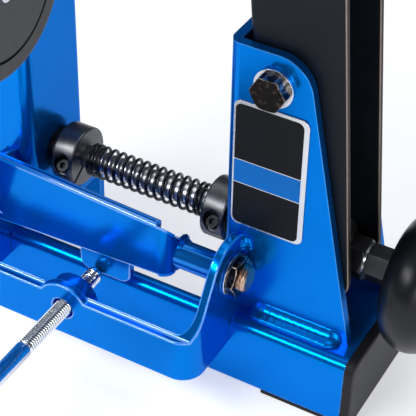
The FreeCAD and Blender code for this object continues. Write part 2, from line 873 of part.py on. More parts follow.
def make_shaft():
    thread = s.shaft_thread_radius
    cut = s.shaft_end_chamfer
    step = s.shaft_radius - thread
    body = new_body("shaft")
    revolve(body, [
        (shaft_left, ZERO), (shaft_right, ZERO), (shaft_right, thread - cut),
        (shaft_right - cut, thread), (s.shaft_body_half + step, thread),
        (s.shaft_body_half, s.shaft_radius), (-1 * s.shaft_body_half, s.shaft_radius),
        (-1 * s.shaft_body_half - step, thread), (shaft_left + cut, thread),
        (shaft_left, thread - cut)])
    keep(along_shaft(body, ZERO), "spreader_shaft")


def clamp_seat():
    """Return the height of the clamp screw's seat in the collar's own frame."""
    flat = root(s.collar_radius * s.collar_radius - s.clamp_screw_offset * s.clamp_screw_offset)
    return flat - s.clamp_bore_depth


def make_collars():
    outer = s.collar_radius
    bore = s.shaft_radius + s.running_gap
    edge = s.collar_edge
    width = s.collar_width
    seat = clamp_seat()
    body = new_body("collar")
    revolve(body, [(ZERO, bore), (width, bore), (width, outer - edge), (width - edge, outer),
                   (edge, outer), (ZERO, outer - edge)])
    pocket(body, "YZ_Plane", -1 * s.overrun, width + s.overrun,
           box(-1 * outer - s.overrun, ZERO, -1 * s.collar_slit / 2, s.collar_slit / 2))
    pocket(body, "XY_Plane", seat, outer,
           circle(width / 2, -1 * s.clamp_screw_offset, s.clamp_bore_radius))
    pocket(body, "XY_Plane", -1 * outer, seat,
           circle(width / 2, -1 * s.clamp_screw_offset, s.clamp_shank_radius + s.running_gap))
    keep(along_shaft(body, s.collar_inner_face, s.collar_slit_angle), "collar_right")
    mirrored(body, label="collar_left")


def make_clamp_screws():
    body = new_body("clamp_screw")
    revolve(body, [
        (ZERO, -1 * s.clamp_shank_length), (s.clamp_shank_radius, -1 * s.clamp_shank_length),
        (s.clamp_shank_radius, ZERO), (s.clamp_head_radius, ZERO),
        (s.clamp_head_radius, s.clamp_head_height), (ZERO, s.clamp_head_height)],
        "XZ_Plane", "V_Axis")
    pocket(body, "XY_Plane", s.clamp_head_height - s.clamp_socket_depth,
           s.clamp_head_height + s.overrun, hexagon(s.clamp_socket_flats))
    turn = s.collar_slit_angle
    seat = clamp_seat()
    away = s.clamp_screw_offset
    place(body, s.collar_inner_face + s.collar_width / 2,
          -1 * away * cosine(turn) - seat * sine(turn),
          shaft_z - away * sine(turn) + seat * cosine(turn), Vector(1, 0, 0), turn)
    group("collar_clamp_screws", body, mirrored(body))


def make_bushes():
    bore = s.shaft_radius + s.running_gap
    flange = tower_face - s.bush_flange_thickness
    end = tower_face + s.tower_plate
    body = new_body("bush")
    revolve(body, [(flange, bore), (end, bore), (end, s.bush_radius),
                   (tower_face, s.bush_radius), (tower_face, s.bush_flange_radius),
                   (flange, s.bush_flange_radius)])
    along_shaft(body, ZERO)
    group("shaft_bushes", body, mirrored(body))


def arc_middle(start, tangent, end):
    """Return the middle point of the arc that leaves start along a tangent and reaches end."""
    chord = end - start
    half_way = Vector(tangent).normalize() + Vector(chord).normalize()
    half_way.normalize()
    turn = Vector(tangent).getAngle(chord)
    return start + half_way * (chord.Length / (2 * math.cos(turn / 2)))


def biarc(start, start_tangent, end, end_tangent):
    """Return two arcs that join two points along their tangents."""
    across = end - start
    both = start_tangent + end_tangent
    spread = 2 * (1 - start_tangent.dot(end_tangent))
    along = across.dot(both)
    reach = (math.sqrt(along * along + spread * across.dot(across)) - along) / spread
    joint = (start + start_tangent * reach + end - end_tangent * reach) * 0.5
    first = Part.Arc(start, arc_middle(start, start_tangent, joint), joint).toShape()
    last = Part.Arc(joint, arc_middle(end, -end_tangent, joint), end).toShape()
    return [first, last]


def spring_station(turns, total_turns, active_pitch):
    """Return a spring's distance along its axis and its pitch after so many turns."""
    end_pitch = s.spring_end_pitch.value
    ramp = RAMP_SHARE_OF_TURN
    if turns > total_turns / 2:
        whole = spring_station(total_turns / 2, total_turns, active_pitch)[0] * 2
        place_left, pitch = spring_station(total_turns - turns, total_turns, active_pitch)
        return whole - place_left, pitch
    if turns <= SPRING_END_TURNS:
        return turns * end_pitch, end_pitch
    place_left = SPRING_END_TURNS * end_pitch
    into = min(turns - SPRING_END_TURNS, ramp)
    pitch = end_pitch + (active_pitch - end_pitch) * into / ramp
    place_left += into * (end_pitch + pitch) / 2
    return place_left + max(turns - SPRING_END_TURNS - ramp, 0) * active_pitch, pitch


def helix_point(turns, total_turns, active_pitch, radius, start):
    """Return a point of the spring's centre line and the unit tangent there."""
    along, pitch = spring_station(turns, total_turns, active_pitch)
    angle = 2 * math.pi * turns
    point = Vector(start + along, radius * math.cos(angle), radius * math.sin(angle))
    slope = Vector(pitch / (2 * math.pi), -radius * math.sin(angle), radius * math.cos(angle))
    return point, slope.normalize()


def make_spring():
    wire = s.spring_wire_radius.value
    radius = s.spring_outer_radius.value - wire
    hook = s.spring_hook_radius.value
    face = s.collar_inner_face.value
    start = -face + hook + 2 * wire
    length = -2 * start
    ramp = RAMP_SHARE_OF_TURN
    total_turns = 2 * (SPRING_END_TURNS + ramp) + SPRING_ACTIVE_TURNS
    end_pitch = s.spring_end_pitch.value
    closed = (2 * SPRING_END_TURNS + ramp) * end_pitch
    active_pitch = (length - closed) / (SPRING_ACTIVE_TURNS + ramp)
    count = round(total_turns * TURN_QUARTERS)
    stations = [helix_point(step / TURN_QUARTERS, total_turns, active_pitch, radius, start)
                for step in range(count + 1)]
    axis = Vector(1, 0, 0)
    edges = []
    for (point, tangent), (following, leaving) in zip(stations, stations[1:]):
        edges += biarc(point, tangent, following, leaving)
    for (point, tangent), sign in ((stations[0], -1), (stations[-1], 1)):
        round_end = point + (tangent + axis) * (hook * sign)
        side_end = Vector(face * sign, round_end.y, round_end.z)
        bend = biarc(point, tangent * sign, round_end, axis * sign)
        straight = Part.LineSegment(round_end, side_end).toShape()
        edges += bend + [straight]
    path = Part.Wire(Part.__sortEdges__(edges))
    print_spring_gap(total_turns, active_pitch, radius, start, 2 * wire)
    first = path.OrderedEdges[0]
    begin = first.valueAt(first.FirstParameter)
    ring = Part.Wire(Part.Circle(begin, axis, wire).toShape())
    shape = path.makePipeShell([ring], True, False)
    spring = doc.addObject("Part::Feature", "spring")
    spring.Shape = shape
    keep(along_shaft(spring, ZERO), "spreader_spring")


def print_spring_gap(total_turns, active_pitch, radius, start, thickness):
    """Print the least gap between one turn of the spring's wire and the next."""
    samples = CLEARANCE_SAMPLES
    points = [helix_point(step / samples, total_turns, active_pitch, radius, start)[0]
              for step in range(round(total_turns * samples) + 1)]
    least = min(points[first].distanceToPoint(points[last])
                for first in range(len(points))
                for last in range(first + samples // 2, min(first + 2 * samples, len(points))))
    print(f"spring: {total_turns} turns, active pitch {active_pitch:.3f} mm, "
          f"least gap to itself {least - thickness:.3f} mm")


def make_barrel_nuts():
    half = s.upright_depth / 2 - s.upright_plate - s.side_gap
    reach = s.upright_depth / 2 - s.side_gap
    body = new_body("barrel")
    pad(body, "XZ_Plane", -1 * half, half, circle(ZERO, ZERO, s.barrel_radius))
    pad(body, "XZ_Plane", -1 * reach, reach, circle(ZERO, ZERO, s.barrel_trunnion_radius))
    pocket(body, "YZ_Plane", -1 * s.barrel_radius - s.overrun, s.barrel_radius + s.overrun,
           circle(ZERO, ZERO, s.shaft_thread_radius + s.running_gap))
    keep(along_shaft(body, s.barrel_reach), "barrel_nut_right")
    mirrored(body, label="barrel_nut_left")


def make_shaft_nuts():
    bore = s.shaft_thread_radius + s.running_gap
    nut = hex_nut("jam_nut", s.jam_nut_flats, s.jam_nut_height, bore)
    keep(along_shaft(nut, jam_nut_x), "jam_nut")
    ring = washer("lock_washer", "YZ_Plane", ZERO, s.lock_washer_thickness,
                  s.lock_washer_radius, bore)
    keep(along_shaft(ring, lock_washer_x), "lock_washer")
    ferrule = new_body("ferrule")
    pad(ferrule, "YZ_Plane", ZERO, s.ferrule_length, hexagon(s.ferrule_flats),
        circle(ZERO, ZERO, bore))
    keep(along_shaft(ferrule, ferrule_x), "knob_ferrule")
    stop = hex_nut("end_nut", s.jam_nut_flats, s.end_nut_height, bore)
    keep(along_shaft(stop, -1 * jam_nut_x - s.end_nut_height), "shaft_end_nut")


def make_spreader_knob():
    bore = s.shaft_thread_radius + s.running_gap
    ring = s.knob_ring_radius
    turn = s.knob_round
    floor = knob_width - s.knob_dish_depth
    body = new_body("spreader_knob")
    revolve(body, [(ZERO, bore), (floor, bore), (floor, ring - s.knob_dish_slope),
                   (knob_width, ring), (turn, ring + turn, turn, ring, 1),
                   (ZERO, ring, turn, ring, 1)])
    keep(along_shaft(body, knob_x), "spreader_knob")


# Front strap, screw boss and the pivot rod of the arm.
def make_strap():
    half = s.strap_half
    inner = half - s.strap_plate
    ear_top = arm_pivot_z + s.ear_radius
    body = new_body("front_strap")
    pad(body, "XY_Plane", strap_bottom, ear_top, outline([
        (-1 * half, tower_front), (-1 * half, strap_front), (half, strap_front),
        (half, tower_front), (inner, tower_front), (inner, strap_back),
        (-1 * inner, strap_back), (-1 * inner, tower_front)]))
    fillet(body, s.strap_bend, edges_along(
        body, 2, (half, strap_front), (-1 * half, strap_front)))
    fillet(body, s.strap_bend - s.strap_plate, edges_along(
        body, 2, (inner, strap_back), (-1 * inner, strap_back)))
    slant_y = strap_front + s.ear_slant_end
    rest_y = arm_pivot_y - slant_y
    rest_z = arm_pivot_z - strap_top
    span = rest_y * rest_y + rest_z * rest_z
    reach = span - s.ear_radius * s.ear_radius
    share = reach / span
    lift = root(reach) * s.ear_radius / span
    touch = (slant_y + rest_y * share - rest_z * lift, strap_top + rest_z * share + rest_y * lift)
    rear = tower_front - arm_pivot_y
    rear_z = arm_pivot_z + root(s.ear_radius * s.ear_radius - rear * rear)
    clear = ear_top + s.overrun
    ahead = strap_front - s.overrun
    behind = tower_front + s.overrun
    pocket(body, "YZ_Plane", -1 * half - s.overrun, half + s.overrun, outline([
        (ahead, strap_top), (slant_y, strap_top), touch,
        (tower_front, rear_z, arm_pivot_y, arm_pivot_z, -1), (behind, rear_z),
        (behind, clear), (ahead, clear)]))
    pocket(body, "YZ_Plane", -1 * half - s.overrun, half + s.overrun,
           box(base_front, behind, strap_bottom - s.overrun, base_top))
    pad(body, "XZ_Plane", strap_front, strap_back, circle(screw_x, screw_z, s.hump_radius))
    pocket(body, "XZ_Plane", strap_front - s.overrun, strap_back + s.overrun,
           circle(screw_x, screw_z, s.strap_hole_radius))
    pocket(body, "YZ_Plane", -1 * half - s.overrun, half + s.overrun,
           circle(arm_pivot_y, arm_pivot_z, s.rod_radius + s.running_gap))
    keep(body, "front_strap")


def make_boss():
    body = new_body("screw_boss")
    pad(body, "XZ_Plane", strap_back, strap_back + s.boss_length,
        circle(screw_x, screw_z, s.boss_radius),
        circle(screw_x, screw_z, s.elevation_screw_radius + s.running_gap))
    keep(body, "screw_boss")


def make_arm_rod():
    near = s.strap_half + s.side_gap
    seat = near + s.rod_washer_thickness
    end = seat + s.rod_nut_height + s.rod_thread_end
    thread = s.rod_thread_radius
    rim = thread - s.rod_end_round
    turn = end - s.rod_end_round
    body = new_body("arm_rod")
    revolve(body, [
        (-1 * end, ZERO), (end, ZERO), (end, rim), (turn, thread, turn, rim, 1), (near, thread),
        (near, s.rod_radius), (-1 * near, s.rod_radius), (-1 * near, thread),
        (-1 * turn, thread), (-1 * end, rim, -1 * turn, rim, 1)])
    keep(place(body, ZERO, arm_pivot_y, arm_pivot_z), "arm_pivot_rod")
    bore = thread + s.running_gap
    nut = hex_nut("rod_nut", s.rod_nut_flats, s.rod_nut_height, bore)
    place(nut, seat, arm_pivot_y, arm_pivot_z)
    group("arm_pivot_nuts", nut, mirrored(nut))
    ring = washer("rod_washer", "YZ_Plane", near, seat, s.rod_washer_radius, bore)
    place(ring, ZERO, arm_pivot_y, arm_pivot_z)
    group("arm_pivot_washers", ring, mirrored(ring))


# Caliper arm. The upper pieces are drawn about the arm's pivot and then leaned.
def lean_arm(obj):
    return place(obj, ZERO, arm_pivot_y, arm_pivot_z, Vector(1, 0, 0), s.arm_lean_angle)


def arm_point(ahead, along):
    """Turn a place on the arm into the stand's y and z: ahead is towards the wheel."""
    turn = s.arm_lean_angle
    y = arm_pivot_y + ahead * cosine(turn) - along * sine(turn)
    z = arm_pivot_z + ahead * sine(turn) + along * cosine(turn)
    return y, z


def make_beam():
    left = -1 * s.beam_left
    right = s.beam_right
    flat = right - s.beam_bend
    top_left = arm_pivot_z + s.beam_rise
    top_right = top_left - s.beam_slope_rise
    low_left = arm_pivot_z - s.beam_drop_left
    low_right = arm_pivot_z - s.beam_drop_right
    flange = beam_front + s.beam_flange_depth
    end_top = arm_pivot_z + s.rod_radius + s.beam_end_rise
    over = s.overrun
    body = new_body("arm_beam")
    pad(body, "XY_Plane", low_left, top_left, outline([
        (left, beam_front), (right, beam_front), (right, flange), (right - s.arm_plate, flange),
        (right - s.arm_plate, beam_back), (left, beam_back)]))
    fillet(body, s.beam_bend, edges_along(body, 2, (right, beam_front)))
    fillet(body, s.beam_bend - s.arm_plate,
           edges_along(body, 2, (right - s.arm_plate, beam_back)))
    pocket(body, "XZ_Plane", beam_front - over, flange + over, outline([
        (left, top_left), (flat, top_right), (right + over, top_right),
        (right + over, top_left + over), (left, top_left + over)]))
    pocket(body, "XZ_Plane", beam_front - over, flange + over, outline([
        (left, low_left), (left, low_left - over), (right + over, low_left - over),
        (right + over, low_right), (flat, low_right)]))
    fillet(body, s.beam_corner, edges_along(body, 0, (flange, low_right)))
    pocket(body, "YZ_Plane", flat, right + over, outline([
        (beam_front, top_right), (flange, end_top), (flange + over, end_top),
        (flange + over, top_left + over), (beam_front, top_left + over)]))
    pocket(body, "YZ_Plane", flat, right + over,
           circle(arm_pivot_y, arm_pivot_z, s.rod_radius + s.side_gap))
    keep(body, "arm_beam")


def make_tab():
    middle = -1 * s.tab_offset
    half = s.tab_width / 2
    low = arm_pivot_z - s.tab_drop
    body = new_body("arm_tab")
    pad(body, "XZ_Plane", tab_front, tab_front + s.arm_plate,
        box(middle - half, middle + half, low, arm_pivot_z))
    fillet(body, s.tab_corner, edges_along(body, 1, (low, middle - half), (low, middle + half)))
    pocket(body, "YZ_Plane", middle - half - s.overrun, middle + half + s.overrun,
           circle(arm_pivot_y, arm_pivot_z, s.rod_radius))
    keep(body, "arm_tab")


def make_riser():
    left = -1 * s.beam_left
    top = bridge_top - s.arm_plate
    back = arm_point(s.riser_back, top)
    front = arm_point(s.riser_back - s.riser_width, top)
    knee = arm_point(s.riser_back - s.riser_width, s.riser_knee)
    body = new_body("arm_riser")
    pad(body, "YZ_Plane", left, left + s.arm_plate, outline([
        (beam_front, arm_pivot_z - s.beam_drop_right), knee, front, back,
        (beam_front, arm_pivot_z + s.beam_rise)]))
    keep(body, "arm_riser")


def make_bridge():
    wide = s.bridge_half_width
    low = bridge_top - s.arm_plate
    right = s.bridge_right
    half = s.lug_thickness / 2
    high = bridge_top + s.lug_height
    bore = s.caliper_screw_radius + s.running_gap
    body = new_body("caliper_bridge")
    pins = [circle(side * s.caliper_pivot_half, pin_ahead, s.pin_radius + s.running_gap)
            for side in (-1, 1)]
    pad(body, "XY_Plane", low, bridge_top, box(-1 * s.beam_left, right, -1 * wide, wide), *pins)
    fillet(body, s.bridge_corner, edges_along(body, 2, (right, wide), (right, -1 * wide)))
    pad(body, "YZ_Plane", -1 * half, half,
        box(caliper_axis - s.lug_half_width, caliper_axis + s.lug_half_width, bridge_top, high),
        circle(caliper_axis, s.arm_length, bore))
    fillet(body, s.lug_half_width - s.side_gap, edges_along(
        body, 0, (caliper_axis - s.lug_half_width, high),
        (caliper_axis + s.lug_half_width, high)))
    keep(lean_arm(body), "caliper_bridge")


# Calipers, their pins, screw, nuts and knob.
def make_fingers():
    middle = s.caliper_pivot_half
    eye = s.finger_eye
    tail = caliper_axis - s.finger_tail
    inner = s.finger_tip_inner
    tip = pin_ahead + s.finger_reach
    shoulder = pin_ahead + s.finger_shoulder
    outer = inner + s.finger_tip_width
    body = new_body("finger")
    pad(body, "XY_Plane", finger_low, finger_high, outline([
        (middle - eye, tail), (middle + eye, tail), (middle + eye, pin_ahead + s.pin_radius),
        (inner + s.finger_tip_bend, shoulder), (outer, tip), (inner, tip), (inner, shoulder),
        (middle - eye, pin_ahead + s.pin_radius)]))
    fillet(body, s.pin_radius, edges_along(
        body, 2, (middle - eye, tail), (middle + eye, tail),
        (middle + eye, pin_ahead + s.pin_radius)))
    pocket(body, "XY_Plane", finger_low - s.overrun, finger_high + s.overrun,
           circle(middle, pin_ahead, s.pin_radius + s.running_gap),
           upright_slot(middle, caliper_axis - s.caliper_slot_travel, caliper_axis,
                        s.caliper_nut_radius + s.caliper_slot_gap))
    keep(lean_arm(body), "caliper_right")
    mirrored(body, label="caliper_left")
    cushion = new_body("tip_pad")
    pad(cushion, "XY_Plane", finger_low, finger_high,
        box(inner - s.tip_pad, inner, tip - s.tip_pad_length, tip))
    fillet(cushion, s.tip_pad / 2, edges_along(cushion, 2, (inner - s.tip_pad, tip)))
    keep(lean_arm(cushion), "caliper_tip_right")
    mirrored(cushion, label="caliper_tip_left")


def make_pins():
    low = bridge_top - s.arm_plate
    head = finger_high + s.side_gap
    body = new_body("caliper_pin")
    spot = (s.caliper_pivot_half, pin_ahead)
    pad(body, "XY_Plane", low, head, circle(*spot, s.pin_radius))
    pad(body, "XY_Plane", head, head + s.pin_head_height, circle(*spot, s.pin_head_radius))
    pad(body, "XY_Plane", low - s.pin_rivet_height, low, circle(*spot, s.pin_rivet_radius))
    pair = group("caliper_pins", body, mirrored(body))
    lean_arm(pair)


def make_caliper_nuts():
    middle = s.caliper_pivot_half
    body = new_body("caliper_nut")
    pad(body, "XY_Plane", finger_low, s.arm_length + s.caliper_nut_top,
        circle(middle, caliper_axis, s.caliper_nut_radius))
    reach = s.caliper_nut_radius + s.overrun
    pocket(body, "YZ_Plane", middle - reach, middle + reach,
           circle(caliper_axis, s.arm_length, s.caliper_screw_radius + s.running_gap))
    keep(lean_arm(body), "caliper_nut_right")
    mirrored(body, label="caliper_nut_left")


def make_caliper_screw():
    thread = s.caliper_screw_radius
    cut = s.shaft_end_chamfer
    left = -1 * s.caliper_screw_left
    right = s.caliper_knob_place + s.caliper_knob_width
    near = s.lug_thickness / 2 + s.side_gap
    far = near + s.caliper_shoulder_width
    shoulder = s.caliper_shoulder_radius
    y, z = arm_point(caliper_axis, s.arm_length)
    body = new_body("caliper_screw")
    revolve(body, [
        (left, ZERO), (right, ZERO), (right, thread), (far, thread), (far, shoulder),
        (near, shoulder), (near, thread), (-1 * near, thread), (-1 * near, shoulder),
        (-1 * far, shoulder), (-1 * far, thread), (left + cut, thread), (left, thread - cut)])
    keep(place(body, ZERO, y, z), "caliper_screw")
    width = s.caliper_knob_width
    radius = s.caliper_knob_radius
    edge = s.caliper_knob_edge
    groove = s.caliper_knob_groove
    rim = radius - edge - s.caliper_knob_rim
    bore = thread + s.running_gap
    knob = new_body("caliper_knob")
    revolve(knob, [
        (ZERO, bore), (width, bore), (width, rim - groove), (width - groove, rim - groove),
        (width - groove, rim), (width, rim), (width, radius - edge),
        (width - edge, radius, width - edge, radius - edge, 1), (edge, radius),
        (ZERO, radius - edge, edge, radius - edge, 1)])
    keep(place(knob, s.caliper_knob_place, y, z), "caliper_knob")


# Elevation screw, drawn along X from the tip's end and then turned to face the back.
def aim_screw(obj):
    return place(obj, screw_x, tab_front - s.tip_gap, screw_z, UP, QUARTER)


def make_elevation_screw():
    radius = s.elevation_screw_radius
    neck = s.elevation_neck_radius
    back = -1 * s.tip_length
    pocket_end = back + s.elevation_neck_length + s.side_gap
    cap = new_body("elevation_tip")
    tip = s.tip_radius
    hollow = neck + s.running_gap
    revolve(cap, [(ZERO, ZERO), (-1 * tip, tip, -1 * tip, ZERO, 1), (back, tip), (back, hollow),
                  (pocket_end, hollow), (pocket_end, ZERO)])
    keep(aim_screw(cap), "elevation_tip")
    shoulder = back - s.side_gap
    end = shoulder - s.elevation_screw_length
    cut = s.shaft_end_chamfer
    body = new_body("elevation_screw")
    revolve(body, [
        (back + s.elevation_neck_length, ZERO), (back + s.elevation_neck_length, neck),
        (shoulder, neck), (shoulder, radius - cut), (shoulder - cut, radius), (end, radius),
        (end, ZERO)])
    keep(aim_screw(body), "elevation_screw")
    outer = s.elevation_knob_radius
    edge = s.elevation_knob_edge
    front = end + s.elevation_knob_width
    knob = new_body("elevation_knob")
    revolve(knob, [
        (end, radius + s.running_gap), (front, radius + s.running_gap), (front, outer - edge),
        (front - edge, outer, front - edge, outer - edge, 1), (end + edge, outer),
        (end, outer - edge, end + edge, outer - edge, 1)])
    keep(aim_screw(knob), "elevation_knob")


def check_objects():
    """Stop if any object failed or any finished piece isn't a valid solid."""
    doc.recompute()
    for obj in doc.Objects:
        if "Invalid" in obj.State or "Error" in obj.State:
            raise RuntimeError(f"{obj.Name} is {obj.State}")
    for node in NODES:
        if node.Shape.isNull() or not node.Shape.isValid() or not node.Shape.Solids:
            raise RuntimeError(f"{node.Label} has no valid solid")


def write_parts():
    for node in NODES:
        node.Shape.exportStep(f"parts/{node.Label}.step")
    print(f"{len(NODES)} pieces written")


UP = Vector(0, 0, 1)
QUARTER = as_size(90)

make_base()
make_boots()
make_bench_bars()
make_towers()
make_welds()
make_badge()
make_tower_pivots()
make_upright()
make_dropouts()
make_shaft()
make_collars()
make_clamp_screws()
make_bushes()
make_spring()
make_barrel_nuts()
make_shaft_nuts()
make_spreader_knob()
make_strap()
make_boss()
make_arm_rod()
make_beam()
make_tab()
make_riser()
make_bridge()
make_fingers()
make_pins()
make_caliper_nuts()
make_caliper_screw()
make_elevation_screw()
check_objects()
write_parts()
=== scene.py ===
"""Bench stand for truing a bicycle wheel: its surfaces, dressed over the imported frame."""
import math

import bpy
import numpy as np
from mathutils import Matrix, Vector


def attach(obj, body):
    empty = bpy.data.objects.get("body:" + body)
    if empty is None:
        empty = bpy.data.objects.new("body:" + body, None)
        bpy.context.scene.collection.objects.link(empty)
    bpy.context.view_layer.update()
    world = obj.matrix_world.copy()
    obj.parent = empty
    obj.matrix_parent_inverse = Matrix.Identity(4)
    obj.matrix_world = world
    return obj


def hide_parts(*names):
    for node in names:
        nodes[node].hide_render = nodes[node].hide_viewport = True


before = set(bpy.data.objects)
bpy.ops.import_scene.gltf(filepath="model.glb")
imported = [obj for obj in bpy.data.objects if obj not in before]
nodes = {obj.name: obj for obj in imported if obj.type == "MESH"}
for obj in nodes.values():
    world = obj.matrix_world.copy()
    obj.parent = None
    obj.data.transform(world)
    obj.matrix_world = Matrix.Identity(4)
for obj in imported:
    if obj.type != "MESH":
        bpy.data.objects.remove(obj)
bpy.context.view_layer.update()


# The view: a close look at the right half from the front right and above. Its angles, place and
# focal length come from fitting the straight edges of the stand to the photograph.
VIEW_TURN = math.radians(28.67)
VIEW_RISE = math.radians(39.17)
VIEW_ROLL = math.radians(-1.31)
VIEW_PLACE = (0.3130, -0.5091, 0.5458)
VIEW_FOCAL_PIXELS = 1465.53
VIEW_PIXELS = 416

camera_data = bpy.data.cameras.new("view")
camera_data.sensor_width = 36.0
camera_data.lens = camera_data.sensor_width * VIEW_FOCAL_PIXELS / VIEW_PIXELS
camera_data.clip_start = 0.01
camera_data.clip_end = 20.0
camera = bpy.data.objects.new("view", camera_data)
bpy.context.scene.collection.objects.link(camera)
view_back = Vector((math.sin(VIEW_TURN) * math.cos(VIEW_RISE),
                    -math.cos(VIEW_TURN) * math.cos(VIEW_RISE), math.sin(VIEW_RISE)))
level = Vector((math.cos(VIEW_TURN), math.sin(VIEW_TURN), 0))
upward = view_back.cross(level)
across = math.cos(VIEW_ROLL) * level - math.sin(VIEW_ROLL) * upward
along = math.sin(VIEW_ROLL) * level + math.cos(VIEW_ROLL) * upward
camera.matrix_world = Matrix.Translation(VIEW_PLACE) @ Matrix(
    (across, along, view_back)).transposed().to_4x4()
bpy.context.scene.camera = camera


# Base: one steel pressing, bent down at the front and the back, its middle cut away behind the
# front wall, under a gloss blue powder coat that all the welded plate of the stand shares.
class Varying:
    """A value that changes over a surface, with the usual arithmetic."""

    def __init__(self, finish, socket):
        self.finish = finish
        self.socket = socket

    def worked(self, operation, first, second):
        return self.finish.node("Math", {"operation": operation}, {0: first, 1: second})

    def __add__(self, other):
        return self.worked("ADD", self, other)

    def __sub__(self, other):
        return self.worked("SUBTRACT", self, other)

    def __rsub__(self, other):
        return self.worked("SUBTRACT", other, self)

    def __mul__(self, other):
        return self.worked("MULTIPLY", self, other)

    def __pow__(self, other):
        return self.worked("POWER", self, other)

    def __gt__(self, other):
        return self.worked("GREATER_THAN", self, other)

    def __lt__(self, other):
        return self.worked("LESS_THAN", self, other)

    def __abs__(self):
        return self.worked("ABSOLUTE", self, 0.0)

    __radd__ = __add__
    __rmul__ = __mul__


class Finish:
    """A material: constants on its shader, and patterns that feed colour, gloss and relief."""

    def __init__(self, name, **constants):
        self.material = bpy.data.materials.new(name)
        self.material.use_nodes = True
        self.tree = self.material.node_tree
        self.shader = self.tree.nodes["Principled BSDF"]
        for words, value in constants.items():
            socket = words.replace("_", " ").title().replace("Ior", "IOR")
            self.shader.inputs[socket].default_value = value
        self.place = self.node("TexCoord", output="Object")

    def node(self, kind, settings=None, values=None, output=0):
        """Add a node with its settings and socket values, and return one of its outputs."""
        made = self.tree.nodes.new("ShaderNode" + kind)
        for key, value in (settings or {}).items():
            setattr(made, key, value)
        for key, value in (values or {}).items():
            if isinstance(value, Varying):
                self.tree.links.new(value.socket, made.inputs[key])
            else:
                made.inputs[key].default_value = value
        return Varying(self, made.outputs[output])

    def coordinate(self, letter):
        """Return the place along one axis, in metres."""
        return self.node("SeparateXYZ", values={"Vector": self.place}, output=letter)

    def noise(self, size, detail=2.0, stretch=(1, 1, 1)):
        """Return cloudy noise from 0 to 1 whose grain is about size metres."""
        scale = tuple(part / size for part in stretch)
        spread = self.node("Mapping", values={"Vector": self.place, "Scale": scale})
        return self.node("TexNoise", values={"Vector": spread, "Scale": 1.0, "Detail": detail})

    def step(self, value, start, end):
        """Rise smoothly from 0 to 1 as a value goes from start to end."""
        return self.node("MapRange", {"interpolation_type": "SMOOTHSTEP"},
                         {"Value": value, "From Min": start, "From Max": end})

    def wave(self, value, length):
        """Return a sine of a value that repeats every length, from -1 to 1."""
        return self.node("Math", {"operation": "SINE"}, {0: value * (2 * math.pi / length)})

    def reach(self, first, second):
        """Return the distance from an axis, given the two offsets from it."""
        return (first * first + second * second) ** 0.5

    def blend(self, share, first, second):
        """Mix two colours by a varying share."""
        return self.node("Mix", {"data_type": "RGBA"}, {0: share, 6: first, 7: second}, output=2)

    def drive(self, socket, value):
        """Let a varying value or colour set one of the shader's sockets."""
        self.tree.links.new(value.socket, self.shader.inputs[socket])

    def relief(self, height, depth, softened=None):
        """Raise and sink the surface, or a softened normal, by depth metres times a height."""
        values = {"Height": height, "Distance": depth}
        if softened:
            values["Normal"] = softened
        self.drive("Normal", self.node("Bump", values=values))

    def soft_edges(self, radius):
        """Return a normal that turns round edges, and how far it leans from the face, 0 to 1."""
        normal = self.node("Bevel", {"samples": 6}, {"Radius": radius})
        face = self.node("NewGeometry", output="Normal")
        along = self.node("VectorMath", {"operation": "DOT_PRODUCT"}, {0: normal, 1: face},
                          output=1)
        return normal, self.step(along, 0.99, 0.8)


def colour_of(red, green, blue):
    return (red, green, blue, 1.0)


def dress(finish, *names):
    """Give CAD nodes a finish."""
    for name in names:
        data = nodes[name].data
        data.materials.clear()
        data.materials.append(finish.material)


def round_edges(radius, *names, steps=3, edge=None, reach="OFFSET"):
    """Round the sharp edges of CAD nodes, as deburred and coated metal has them.

    A finish for the edges goes in a slot of its own. Reach is how the radius is laid off where
    edges meet at a slant.
    """
    for name in names:
        weld = nodes[name].modifiers.new("merge", "WELD")
        weld.merge_threshold = 0.000002
        flat = nodes[name].modifiers.new("flat", "DECIMATE")
        flat.decimate_type = "DISSOLVE"
        flat.angle_limit = math.radians(0.1)
        bevel = nodes[name].modifiers.new("edge", "BEVEL")
        bevel.use_clamp_overlap = False
        bevel.limit_method = "ANGLE"
        bevel.angle_limit = math.radians(35)
        bevel.offset_type = reach
        bevel.width = radius
        bevel.segments = steps
        even = nodes[name].modifiers.new("even", "WEIGHTED_NORMAL")
        even.weight = 80
        if edge:
            nodes[name].data.materials.append(edge.material)
            bevel.material = 1


COAT_TINT = colour_of(0.0, 0.6, 1.0)


def powder_coat(name, corner, gloss=0.0):
    """Make the blue coat, glossier round corners of a radius in metres, with a paler blue there as
    a painted highlight.

    Gloss is the weight of the clear coat away from the corners.
    """
    coat = Finish(name, roughness=0.3, metallic=0.75, specular_ior_level=0.3,
                  specular_tint=COAT_TINT, coat_roughness=0.08, coat_ior=2.0)
    normal, bent = coat.soft_edges(corner)
    cloud = coat.blend(coat.noise(0.035), colour_of(0.0, 0.15, 0.58), colour_of(0.0, 0.185, 0.68))
    # Round the corners the blue is paler: a painted highlight.
    coat.drive("Base Color", coat.blend(bent, cloud, colour_of(0.0, 0.32, 0.95)))
    coat.drive("Coat Weight", gloss + (0.8 - gloss) * bent)
    coat.drive("Roughness", 0.17 + 0.08 * coat.noise(0.012))
    coat.relief(coat.noise(0.005, 1.0) + 0.2 * coat.noise(0.0012, 1.0), 0.00003, normal)
    return coat


paint = powder_coat("gloss blue powder coat", 0.001)
# Rounded plate edges get a paler blue under a strong clear coat: a painted highlight.
edge_highlight_blue = Finish("blue coat with a painted highlight on an edge", roughness=0.2, specular_ior_level=0.6,
                    specular_tint=COAT_TINT, coat_weight=1.0, coat_roughness=0.1, coat_ior=2.2)
edge_highlight_blue.drive("Base Color", edge_highlight_blue.blend(
    edge_highlight_blue.noise(0.006), colour_of(0.0, 0.2, 0.86), colour_of(0.0, 0.27, 0.95)))
dress(paint, "base_channel")
